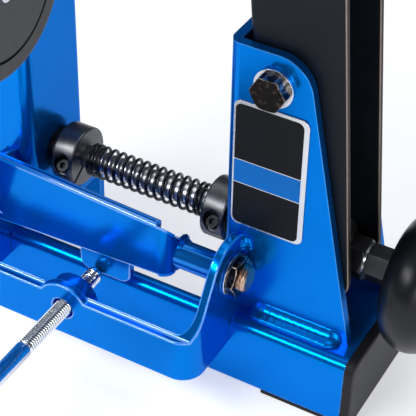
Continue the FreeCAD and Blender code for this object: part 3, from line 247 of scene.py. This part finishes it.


# Boots: black rubber caps moulded over both ends of the base, with thick soles for the bench.
# The end faces are a little greyer than the edges.
BOOT_FACE_START = 0.1366
BOOT_FACE_END = 0.1374
rubber = Finish("moulded rubber", roughness=0.6, specular_ior_level=0.25)
rubber_face = rubber.step(abs(rubber.coordinate("X")), BOOT_FACE_START, BOOT_FACE_END)
rubber_skin = rubber.blend(rubber.noise(0.01), colour_of(0.004, 0.004, 0.005),
                           colour_of(0.008, 0.008, 0.009))
rubber_end = rubber.blend(rubber.noise(0.006), colour_of(0.035, 0.035, 0.037),
                          colour_of(0.05, 0.05, 0.052))
rubber.drive("Base Color", rubber.blend(rubber_face, rubber_skin, rubber_end))
rubber.drive("Roughness", 0.48 + 0.2 * rubber.noise(0.003))
rubber.relief(rubber.noise(0.0009) + 0.5 * rubber.noise(0.004), 0.00008)
dress(rubber, "end_boot_right", "end_boot_left")
round_edges(0.0008, "end_boot_right", "end_boot_left")


# Bench bolt bars: two flat bars pressed into the base, tapped for the bolts from below. They are
# left in oiled black oxide, the finish of all the stand's hidden and turned steel.
black_oxide = Finish("oiled black oxide", metallic=1.0, roughness=0.35)
oxide_cloud = black_oxide.noise(0.006)
black_oxide.drive("Base Color", black_oxide.blend(oxide_cloud, colour_of(0.035, 0.036, 0.04),
                                                  colour_of(0.075, 0.076, 0.082)))
black_oxide.drive("Roughness", 0.3 + 0.2 * black_oxide.noise(0.002))
black_oxide.relief(black_oxide.noise(0.0008), 0.00003)
dress(black_oxide, "bench_bolt_bars")


# Towers: two channels of folded plate, open away from the middle, welded along both feet with
# long smooth beads. The shaft bushes sit in their webs.
def bead_size(way, size, swell, ripple):
    """Return a bead's radius along its way.

    It rises as a circle does over its own size at both ends, and swells by a share that follows
    the sine of the way over the length of a ripple.
    """
    into = np.clip(np.minimum(way, way[-1] - way) / size, 0, 1)
    rise = np.sqrt(1 - 0.999 * (1 - into) ** 2)
    return size * rise * (1 + swell * np.sin(2 * np.pi * way / ripple))


def bead(path, out, up, radius):
    """Return the rings of a weld bead along the corner between two plates.

    A ring has one point sunk inside both plates, then the section's points times the radius: a
    round toe on the first plate and a hollow slope up to the second.
    """
    path, out, up = (np.broadcast_to(item, path.shape) for item in (path, out, up))
    ahead = np.gradient(path, axis=0)
    section = WELD_SECTION
    if np.sum(np.cross(out, up) * ahead) < 0:
        out, up, section = up, out, section[::-1, ::-1]
    sunk = -WELD_SINK
    first = radius[:, None] * np.concatenate([[0, 1], section[:, 0], [0]])
    second = radius[:, None] * np.concatenate([[0, 0], section[:, 1], [1]])
    first[:, [0, -1]] = sunk
    second[:, [0, 1]] = sunk
    return path[:, None] + first[..., None] * out[:, None] + second[..., None] * up[:, None]


def skin(name, stacks, finish, body, slot, *stands_for, sharp=40):
    """Make a piece from stacks of closed rings.

    Quads join every ring to the next, and a fan of triangles about its middle closes the first
    and the last ring of a stack. A stack that ends on its first ring is joined up and has no fans.
    """
    points, quads, fans = [], [], []
    taken = 0
    for rings in stacks:
        joined = np.allclose(rings[0], rings[-1])
        columns = rings.shape[1]
        rows = len(rings) - joined
        points.append(np.concatenate([rings[:rows].reshape(-1, 3),
                                      rings[[0, -1]].mean(axis=1)[:2 - 2 * joined]]))
        ring = np.arange(columns)
        after = (ring + 1) % columns
        row = np.arange(rows - 1 + joined)[:, None] * columns + taken
        above = (row - taken + columns) % (rows * columns) + taken
        quads.append(np.stack([row + ring, row + after, above + after, above + ring],
                              axis=2).reshape(-1, 4))
        if joined:
            taken += rows * columns
            continue
        last = taken + (rows - 1) * columns
        middle = np.full(columns, taken + rows * columns)
        fans.append(np.stack([taken + after, taken + ring, middle], axis=1))
        fans.append(np.stack([last + ring, last + after, middle + 1], axis=1))
        taken += rows * columns + 2
    mesh = bpy.data.meshes.new(name)
    faces = np.concatenate(quads).tolist() + [fan for part in fans for fan in part.tolist()]
    mesh.from_pydata(np.concatenate(points).tolist(), [], faces)
    mesh.shade_smooth()
    mesh.set_sharp_from_angle(angle=math.radians(sharp))
    mesh.materials.append(finish.material)
    made = bpy.data.objects.new(name, mesh)
    bpy.context.scene.collection.objects.link(made)
    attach(made, body)
    if stands_for:
        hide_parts(*stands_for)


TOWER_EDGE = 0.025
BASE_TOP = 0.042
WELD_START = 0.0738
WELD_END = 0.1242
WELD_LEG = 0.0072
WELD_RINGS = 160
WELD_SINK = 0.0005
WELD_SECTION = np.array([(1.0, 0.0), (1.0, 0.1), (0.985, 0.17), (0.95, 0.23), (0.89, 0.28),
                         (0.8, 0.32), (0.6, 0.38), (0.45, 0.45), (0.33, 0.54), (0.22, 0.67),
                         (0.12, 0.82), (0.05, 0.93), (0.0, 1.0)])
dress(paint, "tower_right", "tower_left")
weld_way = np.linspace(0, WELD_END - WELD_START, WELD_RINGS)
foot_beads = []
for side in (1, -1):
    for face in (-1, 1):
        foot_path = np.stack([side * (WELD_START + weld_way),
                              np.full(WELD_RINGS, face * TOWER_EDGE),
                              np.full(WELD_RINGS, BASE_TOP)], axis=1)
        foot_beads.append(bead(foot_path, (0, face, 0), (0, 0, 1),
                               bead_size(weld_way, WELD_LEG, 0.008, 0.004)))
skin("tower_foot_welds", foot_beads, paint, "stand", "frame_paint", "weld_beads", sharp=60)

# The bushes are near black: painted shade in the gaps by the collars, over bronze.
bronze = Finish("near black bronze as painted shade", metallic=1.0, roughness=0.4)
bronze.drive("Base Color", bronze.blend(bronze.noise(0.001), colour_of(0.025, 0.02, 0.014),
                                        colour_of(0.07, 0.05, 0.03)))
bronze.relief(bronze.noise(0.0004), 0.00004)
dress(bronze, "shaft_bushes")


# Badge plate: thin printed sheet glued to the front of the right tower. It has a bare silver rim,
# dark fields above and below, and a plain blue band between two silver lines.
BADGE_LOW = 0.0944
BADGE_HIGH = 0.1664
BADGE_LEFT = 0.0610
BADGE_RIGHT = 0.0994
RIM_LEFT = 0.0010
RIM_RIGHT = 0.0026
RIM_LOW = 0.0011
RIM_HIGH = 0.0018
BADGE_CORNER = 0.0034
BAND_LOW = 0.1195
BAND_HIGH = 0.1330
BAND_LINE = 0.0002
badge = Finish("printed badge sheet", roughness=0.3, specular_ior_level=0.12)
badge_x = badge.coordinate("X")
badge_z = badge.coordinate("Z")
half_width = (BADGE_RIGHT - RIM_RIGHT - BADGE_LEFT - RIM_LEFT) / 2
half_height = (BADGE_HIGH - RIM_HIGH - BADGE_LOW - RIM_LOW) / 2
past_x = abs(badge_x - (BADGE_LEFT + RIM_LEFT + half_width)) - (half_width - BADGE_CORNER)
past_z = abs(badge_z - (BADGE_LOW + RIM_LOW + half_height)) - (half_height - BADGE_CORNER)
badge_inside = badge.reach(past_x * (past_x > 0), past_z * (past_z > 0)) < BADGE_CORNER
badge_line = (abs(badge_z - BAND_LOW) < BAND_LINE) + (abs(badge_z - BAND_HIGH) < BAND_LINE)
badge_band = (badge_z > BAND_LOW) * (badge_z < BAND_HIGH)
badge_print = badge_inside * (1 - badge_line)
badge_silver = badge.blend(badge.noise(0.0012, stretch=(1, 1, 12)), colour_of(0.55, 0.57, 0.6),
                           colour_of(0.75, 0.77, 0.8))
badge_dark = badge.blend(badge.noise(0.01), colour_of(0.002, 0.003, 0.005),
                         colour_of(0.005, 0.006, 0.009))
badge_blue = badge.blend(badge.noise(0.01), colour_of(0.0, 0.125, 0.46),
                         colour_of(0.0, 0.145, 0.53))
badge_field = badge.blend(badge_band, badge_dark, badge_blue)
badge.drive("Base Color", badge.blend(badge_print, badge_silver, badge_field))
badge.drive("Metallic", 0.95 - 0.95 * badge_print)
badge.drive("Roughness", 0.2 + 0.1 * badge.noise(0.003) + 0.15 * badge_print)
dress(badge, "badge_plate")
round_edges(0.0003, "badge_plate")


# Pivots of the uprights: black hexagon bolts and nuts through the towers, with bright zinc
# washers outside, red nylon slip washers and zinc spacers inside. The heads have a worn brown
# oxide on their corners.
HEAD_FACE = 0.0331
HEAD_TOP = 0.0332
BOLT_STUB = 0.0362
patina = Finish("worn brown oxide", metallic=1.0, roughness=0.4)
patina_spots = patina.step(patina.noise(0.003, 3.0), 0.5, 0.75)
patina_face = patina.blend(patina_spots, colour_of(0.012, 0.011, 0.011),
                           colour_of(0.07, 0.052, 0.042))
patina_rubbed = patina.blend(patina.step(patina.noise(0.0025, 3.0, (1, 0.3, 1)), 0.4, 0.62),
                             colour_of(0.03, 0.026, 0.024), colour_of(0.5, 0.44, 0.4))
patina_flat = patina.step(abs(patina.coordinate("Y")), HEAD_TOP, HEAD_FACE)
patina.drive("Base Color", patina.blend(patina_flat, patina_face, patina_rubbed))
patina.drive("Roughness", 0.22 + 0.2 * patina.noise(0.0015))
patina_end = patina.coordinate("Y") > BOLT_STUB
patina_thread = patina_end * patina.wave(patina.coordinate("Y"), 0.0015)
patina.relief(0.1 * patina.noise(0.0008) + patina_thread, 0.00018)
worn_edge = Finish("bright worn edge", metallic=1.0, roughness=0.3)
worn_edge.drive("Base Color", worn_edge.blend(
    worn_edge.noise(0.003), colour_of(0.16, 0.12, 0.09), colour_of(0.5, 0.4, 0.32)))
dress(patina, "tower_pivot_bolts", "tower_pivot_nuts")
round_edges(0.0003, "tower_pivot_bolts", "tower_pivot_nuts", steps=2, edge=worn_edge)

zinc = Finish("bright zinc plate", metallic=1.0, roughness=0.22)
zinc.drive("Base Color", zinc.blend(zinc.noise(0.004), colour_of(0.55, 0.58, 0.63),
                                    colour_of(0.8, 0.82, 0.86)))
zinc.drive("Roughness", 0.16 + 0.16 * zinc.noise(0.002))
zinc.relief(zinc.noise(0.0005), 0.00002)
dress(zinc, "tower_pivot_washers", "pivot_spacers")
round_edges(0.0003, "tower_pivot_washers")

nylon = Finish("red nylon", roughness=0.5)
nylon.drive("Base Color", nylon.blend(nylon.noise(0.004), colour_of(0.35, 0.02, 0.015),
                                      colour_of(0.5, 0.04, 0.03)))
nylon.drive("Roughness", 0.4 + 0.2 * nylon.noise(0.002))
dress(nylon, "friction_washers")


# Uprights: long folded channels of plate in satin black powder coat, leaning out from their
# pivots. Along their cut edges a warm pale colour is a painted highlight.
satin_black = Finish("satin black powder coat", roughness=0.42, specular_ior_level=0.14)
satin_black.drive("Base Color", satin_black.blend(
    satin_black.noise(0.02), colour_of(0.004, 0.006, 0.009), colour_of(0.007, 0.010, 0.014)))
satin_black.drive("Roughness", 0.36 + 0.14 * satin_black.noise(0.004))
satin_black.relief(satin_black.noise(0.0011, 1.0), 0.00006)
# The rounded edges of black plate get a warm pale colour: a painted highlight.
pale_edge_highlight = Finish("painted highlight on a black edge", roughness=0.35)
pale_edge_highlight.drive("Base Color", pale_edge_highlight.blend(
    pale_edge_highlight.noise(0.005), colour_of(0.2, 0.14, 0.11), colour_of(0.36, 0.27, 0.21)))
dress(satin_black, "upright_right", "upright_left")
round_edges(0.0006, "upright_right", "upright_left", edge=pale_edge_highlight)


# Hub supports: ground steel plates on the tops of the uprights, notched for the axle and held by
# two black countersunk screws each.
ground_steel = Finish("ground steel", metallic=1.0, roughness=0.25)
ground_steel.drive("Base Color", ground_steel.blend(
    ground_steel.noise(0.005), colour_of(0.46, 0.455, 0.44), colour_of(0.62, 0.61, 0.59)))
ground_steel.drive("Roughness", 0.2 + 0.16 * ground_steel.noise(0.002))
ground_steel.relief(ground_steel.noise(0.0004, stretch=(1, 8, 1)), 0.00002)
dress(ground_steel, "dropout_right", "dropout_left")
round_edges(0.0005, "dropout_right", "dropout_left")
dress(black_oxide, "dropout_screws_right", "dropout_screws_left")


# Spreader shaft: one ground steel rod across the stand. Both ends are turned down and threaded,
# the left one with a left-hand thread, so that turning it moves both uprights at once.
def carried_round(place, axes, way, radius, turn):
    """Return rings about a centre line, from the ways along it, the radii and the turns."""
    ahead, first, second = np.array(axes, float)
    return (np.array(place) + way[:, None, None] * ahead
            + (radius * np.cos(turn))[..., None] * first
            + (radius * np.sin(turn))[..., None] * second)


def turned_bar(place, axes, profile, threads=(), around=48):
    """Return the rings of a turned bar, given its centre line and three directions.

    The radius along the bar is read off the profile. In a thread it sinks by the depth times a
    triangle wave of the way along over the pitch less the turn round the bar, for a right-hand
    thread, or plus that turn for a left-hand one.
    """
    way, radius = np.array(profile).T
    steps = [np.arange(start, end, abs(pitch) / 6) for start, end, pitch, _ in threads]
    rows = np.unique(np.concatenate([way] + steps))
    turn = np.linspace(0, 2 * np.pi, around, endpoint=False)
    depth_at = np.zeros((len(rows), around))
    for start, end, pitch, depth in threads:
        wave = (rows[:, None] / abs(pitch) - np.sign(pitch) * turn / (2 * np.pi)) % 1
        cut = np.clip(np.minimum(rows - start, end - rows) / abs(pitch), 0, 1)
        depth_at += depth * np.abs(2 * wave - 1) * cut[:, None]
    return carried_round(place, axes, rows, np.interp(rows, way, radius)[:, None] - depth_at, turn)


ALONG_X = ((1, 0, 0), (0, 1, 0), (0, 0, 1))
SHAFT_HEIGHT = 0.0776
SHAFT_RADIUS = 0.00595
SHAFT_THREAD = 0.0047
SHAFT_PITCH = 0.0015
SHAFT_CUT = 0.0009
SHAFT_STEP = 0.0659
SHAFT_CHAMFER = 0.0004
HAIR = 0.00002
shaft = turned_bar((0, 0, SHAFT_HEIGHT), ALONG_X, [
    (-0.1264, 0.0036), (-0.1254, SHAFT_THREAD), (-SHAFT_STEP - HAIR, SHAFT_THREAD),
    (-SHAFT_STEP, SHAFT_RADIUS - SHAFT_CHAMFER), (-SHAFT_STEP + SHAFT_CHAMFER, SHAFT_RADIUS),
    (SHAFT_STEP - SHAFT_CHAMFER, SHAFT_RADIUS), (SHAFT_STEP, SHAFT_RADIUS - SHAFT_CHAMFER),
    (SHAFT_STEP + HAIR, SHAFT_THREAD), (0.165, SHAFT_THREAD), (0.1661, 0.0036)],
    [(-0.126, -0.072, -SHAFT_PITCH, SHAFT_CUT), (0.072, 0.1655, SHAFT_PITCH, SHAFT_CUT)])
polished = Finish("polished shaft", metallic=1.0, roughness=0.12)
polished.drive("Base Color", polished.blend(polished.noise(0.006), colour_of(0.6, 0.61, 0.63),
                                            colour_of(0.75, 0.76, 0.78)))
polished.drive("Roughness", 0.26 + 0.12 * polished.noise(0.003))
skin("threaded_shaft", [shaft], polished, "spreader", "bright_steel", "spreader_shaft", sharp=50)


# Spring and collars: a coil of oiled spring wire round the shaft, held between two turned collars
# in black oxide. Each collar is split, and a socket screw in a counterbore clamps it.
spring_wire = Finish("oiled spring wire", metallic=1.0, roughness=0.25)
spring_wire.drive("Base Color", spring_wire.blend(
    spring_wire.noise(0.005), colour_of(0.025, 0.026, 0.03), colour_of(0.06, 0.062, 0.07)))
spring_wire.drive("Roughness", 0.18 + 0.2 * spring_wire.noise(0.002))
dress(spring_wire, "spreader_spring")

machined = Finish("machined black oxide", metallic=1.0, roughness=0.35)
machined_reach = machined.reach(machined.coordinate("Y"),
                                machined.coordinate("Z") - SHAFT_HEIGHT)
machined.drive("Base Color", machined.blend(machined.noise(0.006), colour_of(0.08, 0.081, 0.088),
                                            colour_of(0.17, 0.172, 0.18)))
machined.drive("Roughness", 0.26 + 0.18 * machined.noise(0.0015))
machined.relief(machined.wave(machined_reach, 0.0005) + 0.4 * machined.noise(0.0004), 0.00002)
dress(machined, "collar_right", "collar_left")
round_edges(0.0005, "collar_right", "collar_left")
dress(black_oxide, "collar_clamp_screws")
round_edges(0.0002, "collar_clamp_screws", steps=2)


# Barrel nuts: short grey phosphated bars across the uprights, which the shaft's threads draw in
# and out.
phosphate = Finish("grey phosphate", metallic=0.8, roughness=0.5)
phosphate.drive("Base Color", phosphate.blend(
    phosphate.step(phosphate.noise(0.0011, 3.0), 0.35, 0.65), colour_of(0.05, 0.056, 0.05),
    colour_of(0.17, 0.18, 0.165)))
phosphate.drive("Roughness", 0.42 + 0.2 * phosphate.noise(0.001))
phosphate.relief(phosphate.noise(0.0005, 3.0), 0.00008)
dress(phosphate, "barrel_nut_right", "barrel_nut_left")
round_edges(0.0004, "barrel_nut_right", "barrel_nut_left")


# Knob of the spreader: a dished wheel moulded in soft black plastic over a hexagon ferrule, and
# locked by a jam nut and a washer. A nut closes the other end of the shaft.
knob_skin = Finish("soft black moulding", roughness=0.3, specular_ior_level=0.28)
knob_skin.drive("Base Color", knob_skin.blend(
    knob_skin.noise(0.008), colour_of(0.003, 0.003, 0.004), colour_of(0.006, 0.007, 0.009)))
knob_skin.drive("Roughness", 0.26 + 0.1 * knob_skin.noise(0.003))
knob_skin.relief(knob_skin.noise(0.0007), 0.00004)
dress(knob_skin, "spreader_knob")
dress(black_oxide, "jam_nut", "knob_ferrule", "shaft_end_nut")
round_edges(0.0004, "jam_nut", "knob_ferrule", "shaft_end_nut")
dress(zinc, "lock_washer")


# Front strap: one bar bent into a tray round the front, rising at both ends into ears for the
# arm, with a boss for the elevation screw. Beads join the ears to the towers.
EAR_FACE = 0.069
EAR_WELD_LEG = 0.0046
EAR_WELD_LOW = 0.0535
EAR_WELD_HIGH = 0.0885
EAR_WELD_RINGS = 140
WASHER_REACH = 0.0114
PIVOT_Y = -0.0365
PIVOT_Z = 0.0720
SCREW_X = -0.0057
SCREW_Z = 0.0445
ALONG_Y = ((0, 1, 0), (0, 0, 1), (1, 0, 0))
dress(paint, "front_strap")
round_edges(0.0009, "front_strap", edge=edge_highlight_blue)


def turned_ring(place, axes, section, around=48):
    """Return the rings of a turned part with a bore: its section carried round a centre line.

    The section is a closed loop of ways along and radii.
    """
    way, radius = np.array(section + section[:1]).T
    turn = np.linspace(0, 2 * np.pi, around, endpoint=False)
    return carried_round(place, axes, way, radius[:, None], turn)


boss = turned_ring((SCREW_X, 0, SCREW_Z), ALONG_Y, [
    (-0.0710, 0.0046), (-0.0710, 0.0129), (-0.0629, 0.0129), (-0.0622, 0.0126),
    (-0.0617, 0.0121), (-0.0615, 0.0114), (-0.0615, 0.0050), (-0.0619, 0.0046)])
skin("threaded_boss", [boss], paint, "stand", "frame_paint", "screw_boss", sharp=50)
ear_way = np.linspace(0, EAR_WELD_HIGH - EAR_WELD_LOW, EAR_WELD_RINGS)
ear_height = EAR_WELD_LOW + ear_way
# The bead leaves room for the washer's edge.
ear_room = -TOWER_EDGE - PIVOT_Y - np.sqrt(np.clip(
    WASHER_REACH ** 2 - (ear_height - PIVOT_Z) ** 2, 0, None))
ear_size = np.minimum(bead_size(ear_way, EAR_WELD_LEG, 0.03, 0.0021), np.abs(ear_room))
ear_beads = []
for side in (1, -1):
    ear_path = np.stack([np.full(EAR_WELD_RINGS, side * EAR_FACE),
                         np.full(EAR_WELD_RINGS, -TOWER_EDGE), ear_height], axis=1)
    ear_beads.append(bead(ear_path, (side, 0, 0), (0, -1, 0), ear_size))
skin("ear_welds", ear_beads, paint, "stand", "frame_paint", sharp=60)


# Pivot rod of the arm: a painted bar that turns in the ears with the arm welded to it. Black
# nuts on its bare threaded ends hold a bright washer against each ear.
ROD_RADIUS = 0.00722
ROD_THREAD = 0.0069
ROD_STEP = 0.0690
ROD_CHAMFER = 0.0004
ROD_END = 0.0786
ROD_ROUND = 0.0024
bar = turned_bar((0, PIVOT_Y, PIVOT_Z), ALONG_X, [
    (-ROD_STEP, ROD_RADIUS - ROD_CHAMFER), (-ROD_STEP + ROD_CHAMFER, ROD_RADIUS),
    (ROD_STEP - ROD_CHAMFER, ROD_RADIUS), (ROD_STEP, ROD_RADIUS - ROD_CHAMFER)])
rod_paint = powder_coat("gloss blue powder coat of the rod", 0.001, 0.15)
skin("arm_rod", [bar], rod_paint, "arm", "frame_paint", "arm_pivot_rod", sharp=50)
round_turn = np.linspace(0, np.pi / 2 * 0.97, 9)
round_end = np.stack([ROD_END - ROD_ROUND + ROD_ROUND * np.sin(round_turn),
                      ROD_THREAD - ROD_ROUND + ROD_ROUND * np.cos(round_turn)], axis=1)
stub = [(ROD_STEP - 0.001, ROD_THREAD)] + round_end.tolist()
stub_thread = [(ROD_STEP + 0.0006, 0.0776, 0.0013, 0.0010)]
stubs = [turned_bar((0, PIVOT_Y, PIVOT_Z), axes, stub, stub_thread)
         for axes in (ALONG_X, ((-1, 0, 0), (0, 0, 1), (0, 1, 0)))]
warm_steel = Finish("bare warm steel", metallic=1.0, roughness=0.3)
warm_steel.drive("Base Color", warm_steel.blend(
    warm_steel.noise(0.004), colour_of(0.42, 0.28, 0.2), colour_of(0.62, 0.46, 0.36)))
warm_steel.drive("Roughness", 0.22 + 0.2 * warm_steel.noise(0.0015))
skin("arm_rod_ends", stubs, warm_steel, "arm", "bright_steel", sharp=60)
dress(patina, "arm_pivot_nuts")
round_edges(0.0004, "arm_pivot_nuts", edge=worn_edge)
dress(zinc, "arm_pivot_washers")
round_edges(0.0003, "arm_pivot_washers")


# Beam of the arm: a bent plate welded along the pivot rod, with a tab below it for the elevation
# screw. Two short rough beads join its right end to the rod.
BEAM_END = 0.0396
ROD_WELD = 0.0027
ROD_WELD_RINGS = 90
dress(paint, "arm_beam", "arm_tab")
round_edges(0.0018, "arm_beam", edge=edge_highlight_blue, reach="ABSOLUTE")
round_edges(0.0008, "arm_tab", edge=edge_highlight_blue)
rod_beads = []
for rod_start, rod_stop in ((-0.5, 0.2), (0.85, 1.4)):
    rod_turn = np.linspace(rod_start, rod_stop, ROD_WELD_RINGS) * np.pi
    rod_ring = np.stack([np.full(ROD_WELD_RINGS, BEAM_END),
                         PIVOT_Y - ROD_RADIUS * np.sin(rod_turn),
                         PIVOT_Z + ROD_RADIUS * np.cos(rod_turn)], axis=1)
    rod_out = np.stack([np.zeros(ROD_WELD_RINGS), -np.sin(rod_turn), np.cos(rod_turn)], axis=1)
    rod_way = (rod_turn - rod_turn[0]) * ROD_RADIUS
    rod_beads.append(bead(rod_ring, (1, 0, 0), rod_out,
                          bead_size(rod_way, ROD_WELD, 0.04, 0.0026)))
skin("rod_weld", rod_beads, paint, "arm", "frame_paint", sharp=60)


# Riser and bridge: the painted plates that carry the calipers at the end of the arm.
dress(paint, "arm_riser", "caliper_bridge")
round_edges(0.0009, "arm_riser", "caliper_bridge", edge=edge_highlight_blue)


# Calipers: two black plate fingers with soft red pads, turning on steel pins. A screw with a
# right-hand and a left-hand thread closes them through two nuts.
dress(satin_black, "caliper_right", "caliper_left")
# Their rounded edges get the same warm pale painted highlight.
round_edges(0.0006, "caliper_right", "caliper_left", edge=pale_edge_highlight)
dress(nylon, "caliper_tip_right", "caliper_tip_left")
dress(ground_steel, "caliper_pins", "caliper_nut_right", "caliper_nut_left")
round_edges(0.0003, "caliper_pins", "caliper_nut_right", "caliper_nut_left", steps=2)
dress(zinc, "caliper_screw")
grey_moulding = Finish("grey moulding", roughness=0.45)
grey_moulding.drive("Base Color", grey_moulding.blend(
    grey_moulding.noise(0.008), colour_of(0.03, 0.031, 0.034), colour_of(0.045, 0.046, 0.05)))
grey_moulding.drive("Roughness", 0.38 + 0.16 * grey_moulding.noise(0.003))
grey_moulding.relief(grey_moulding.noise(0.0007), 0.00003)
dress(grey_moulding, "caliper_knob")


# Elevation screw: a zinc plated screw through the strap and the boss, which pushes the tab of the
# arm with a cap that doesn't turn. Its front end is plain, with a round black knob.
SCREW_RADIUS = 0.00445
SCREW_PITCH = 0.0015
SCREW_CUT = 0.0010
SCREW_END = -0.0516
CAP_START = -0.0513
CAP_TIP = -0.0423
thread_shaded_zinc = Finish("zinc plate with painted shade in the thread", metallic=1.0, roughness=0.16)
thread_depth = SCREW_RADIUS - thread_shaded_zinc.reach(thread_shaded_zinc.coordinate("X") - SCREW_X,
                                                thread_shaded_zinc.coordinate("Z") - SCREW_Z)
thread_crest = thread_shaded_zinc.blend(thread_shaded_zinc.noise(0.004), colour_of(0.7, 0.73, 0.77),
                                 colour_of(0.85, 0.87, 0.9))
# Deep in the thread the zinc turns dark blue: painted shade.
thread_shaded_zinc.drive("Base Color", thread_shaded_zinc.blend(thread_shaded_zinc.step(thread_depth, 0.0004, 0.0010),
                                                  thread_crest, colour_of(0.03, 0.06, 0.09)))
thread_shaded_zinc.drive("Roughness", 0.12 + 0.12 * thread_shaded_zinc.noise(0.002))
cap_turn = np.linspace(0.03, np.pi / 2, 12)
cap_profile = [(CAP_START, SCREW_RADIUS)] + np.stack(
    [CAP_TIP - SCREW_RADIUS + SCREW_RADIUS * np.cos(cap_turn[::-1]),
     SCREW_RADIUS * np.sin(cap_turn[::-1])], axis=1).tolist()
cap = turned_bar((SCREW_X, 0, SCREW_Z), ALONG_Y, cap_profile,
                 [(CAP_START, -0.0464, SCREW_PITCH, SCREW_CUT)])
skin("screw_cap", [cap], thread_shaded_zinc, "elevation_push", "zinc_plate", "elevation_tip", sharp=60)
elevation = turned_bar((SCREW_X, 0, SCREW_Z), ALONG_Y, [
    (-0.1834, SCREW_RADIUS), (-0.1091, SCREW_RADIUS), (-0.1086, SCREW_RADIUS - 0.0005),
    (-0.1080, SCREW_RADIUS - 0.0005), (-0.1076, SCREW_RADIUS), (SCREW_END, SCREW_RADIUS)],
    [(-0.1080, -0.0500, SCREW_PITCH, SCREW_CUT)])
skin("threaded_screw", [elevation], thread_shaded_zinc, "elevation_drive", "zinc_plate",
     "elevation_screw", sharp=60)
dress(knob_skin, "elevation_knob")


# Bench and light: white paper under large soft lamps, none of it part of the stand.
paper = Finish("white paper", roughness=0.8, specular_ior_level=0.2,
               emission_color=colour_of(1, 1, 1), emission_strength=0.5)
paper.drive("Base Color", paper.blend(paper.noise(0.5), colour_of(0.87, 0.87, 0.88),
                                      colour_of(0.89, 0.89, 0.89)))
floor_mesh = bpy.data.meshes.new("floor")
floor_mesh.from_pydata([(-5, -5, 0), (5, -5, 0), (5, 5, 0), (-5, 5, 0)], [], [(0, 1, 2, 3)])
floor_mesh.materials.append(paper.material)
floor = bpy.data.objects.new("floor", floor_mesh)
bpy.context.scene.collection.objects.link(floor)


def soft_lamp(name, place, width, depth, power):
    """Hang a rectangular lamp at a place, aimed at the middle of the stand."""
    data = bpy.data.lights.new(name, "AREA")
    data.shape = "RECTANGLE"
    data.size = width
    data.size_y = depth
    data.energy = power
    lamp = bpy.data.objects.new(name, data)
    lamp.location = place
    lamp.rotation_euler = (Vector((0.03, 0, 0.1)) - Vector(place)).to_track_quat(
        "-Z", "Y").to_euler()
    bpy.context.scene.collection.objects.link(lamp)


soft_lamp("overhead", (0.0, 0.3, 1.5), 1.3, 1.0, 6)
soft_lamp("key", (-0.65, -1.05, 1.15), 1.3, 0.3, 19)
soft_lamp("front_right", (1.0, -1.2, 0.5), 0.8, 0.5, 5)
room = bpy.data.worlds.new("room")
room.use_nodes = True
sky = room.node_tree.nodes["Background"]
seen = room.node_tree.nodes.new("ShaderNodeLightPath")
shade = room.node_tree.nodes.new("ShaderNodeMix")
shade.data_type = "RGBA"
shade.inputs[6].default_value = colour_of(0.12, 0.14, 0.17)
shade.inputs[7].default_value = colour_of(1, 1, 1)
room.node_tree.links.new(seen.outputs["Is Camera Ray"], shade.inputs[0])
room.node_tree.links.new(shade.outputs[2], sky.inputs["Color"])
bpy.context.scene.world = room
bpy.context.scene.view_settings.view_transform = "Standard"
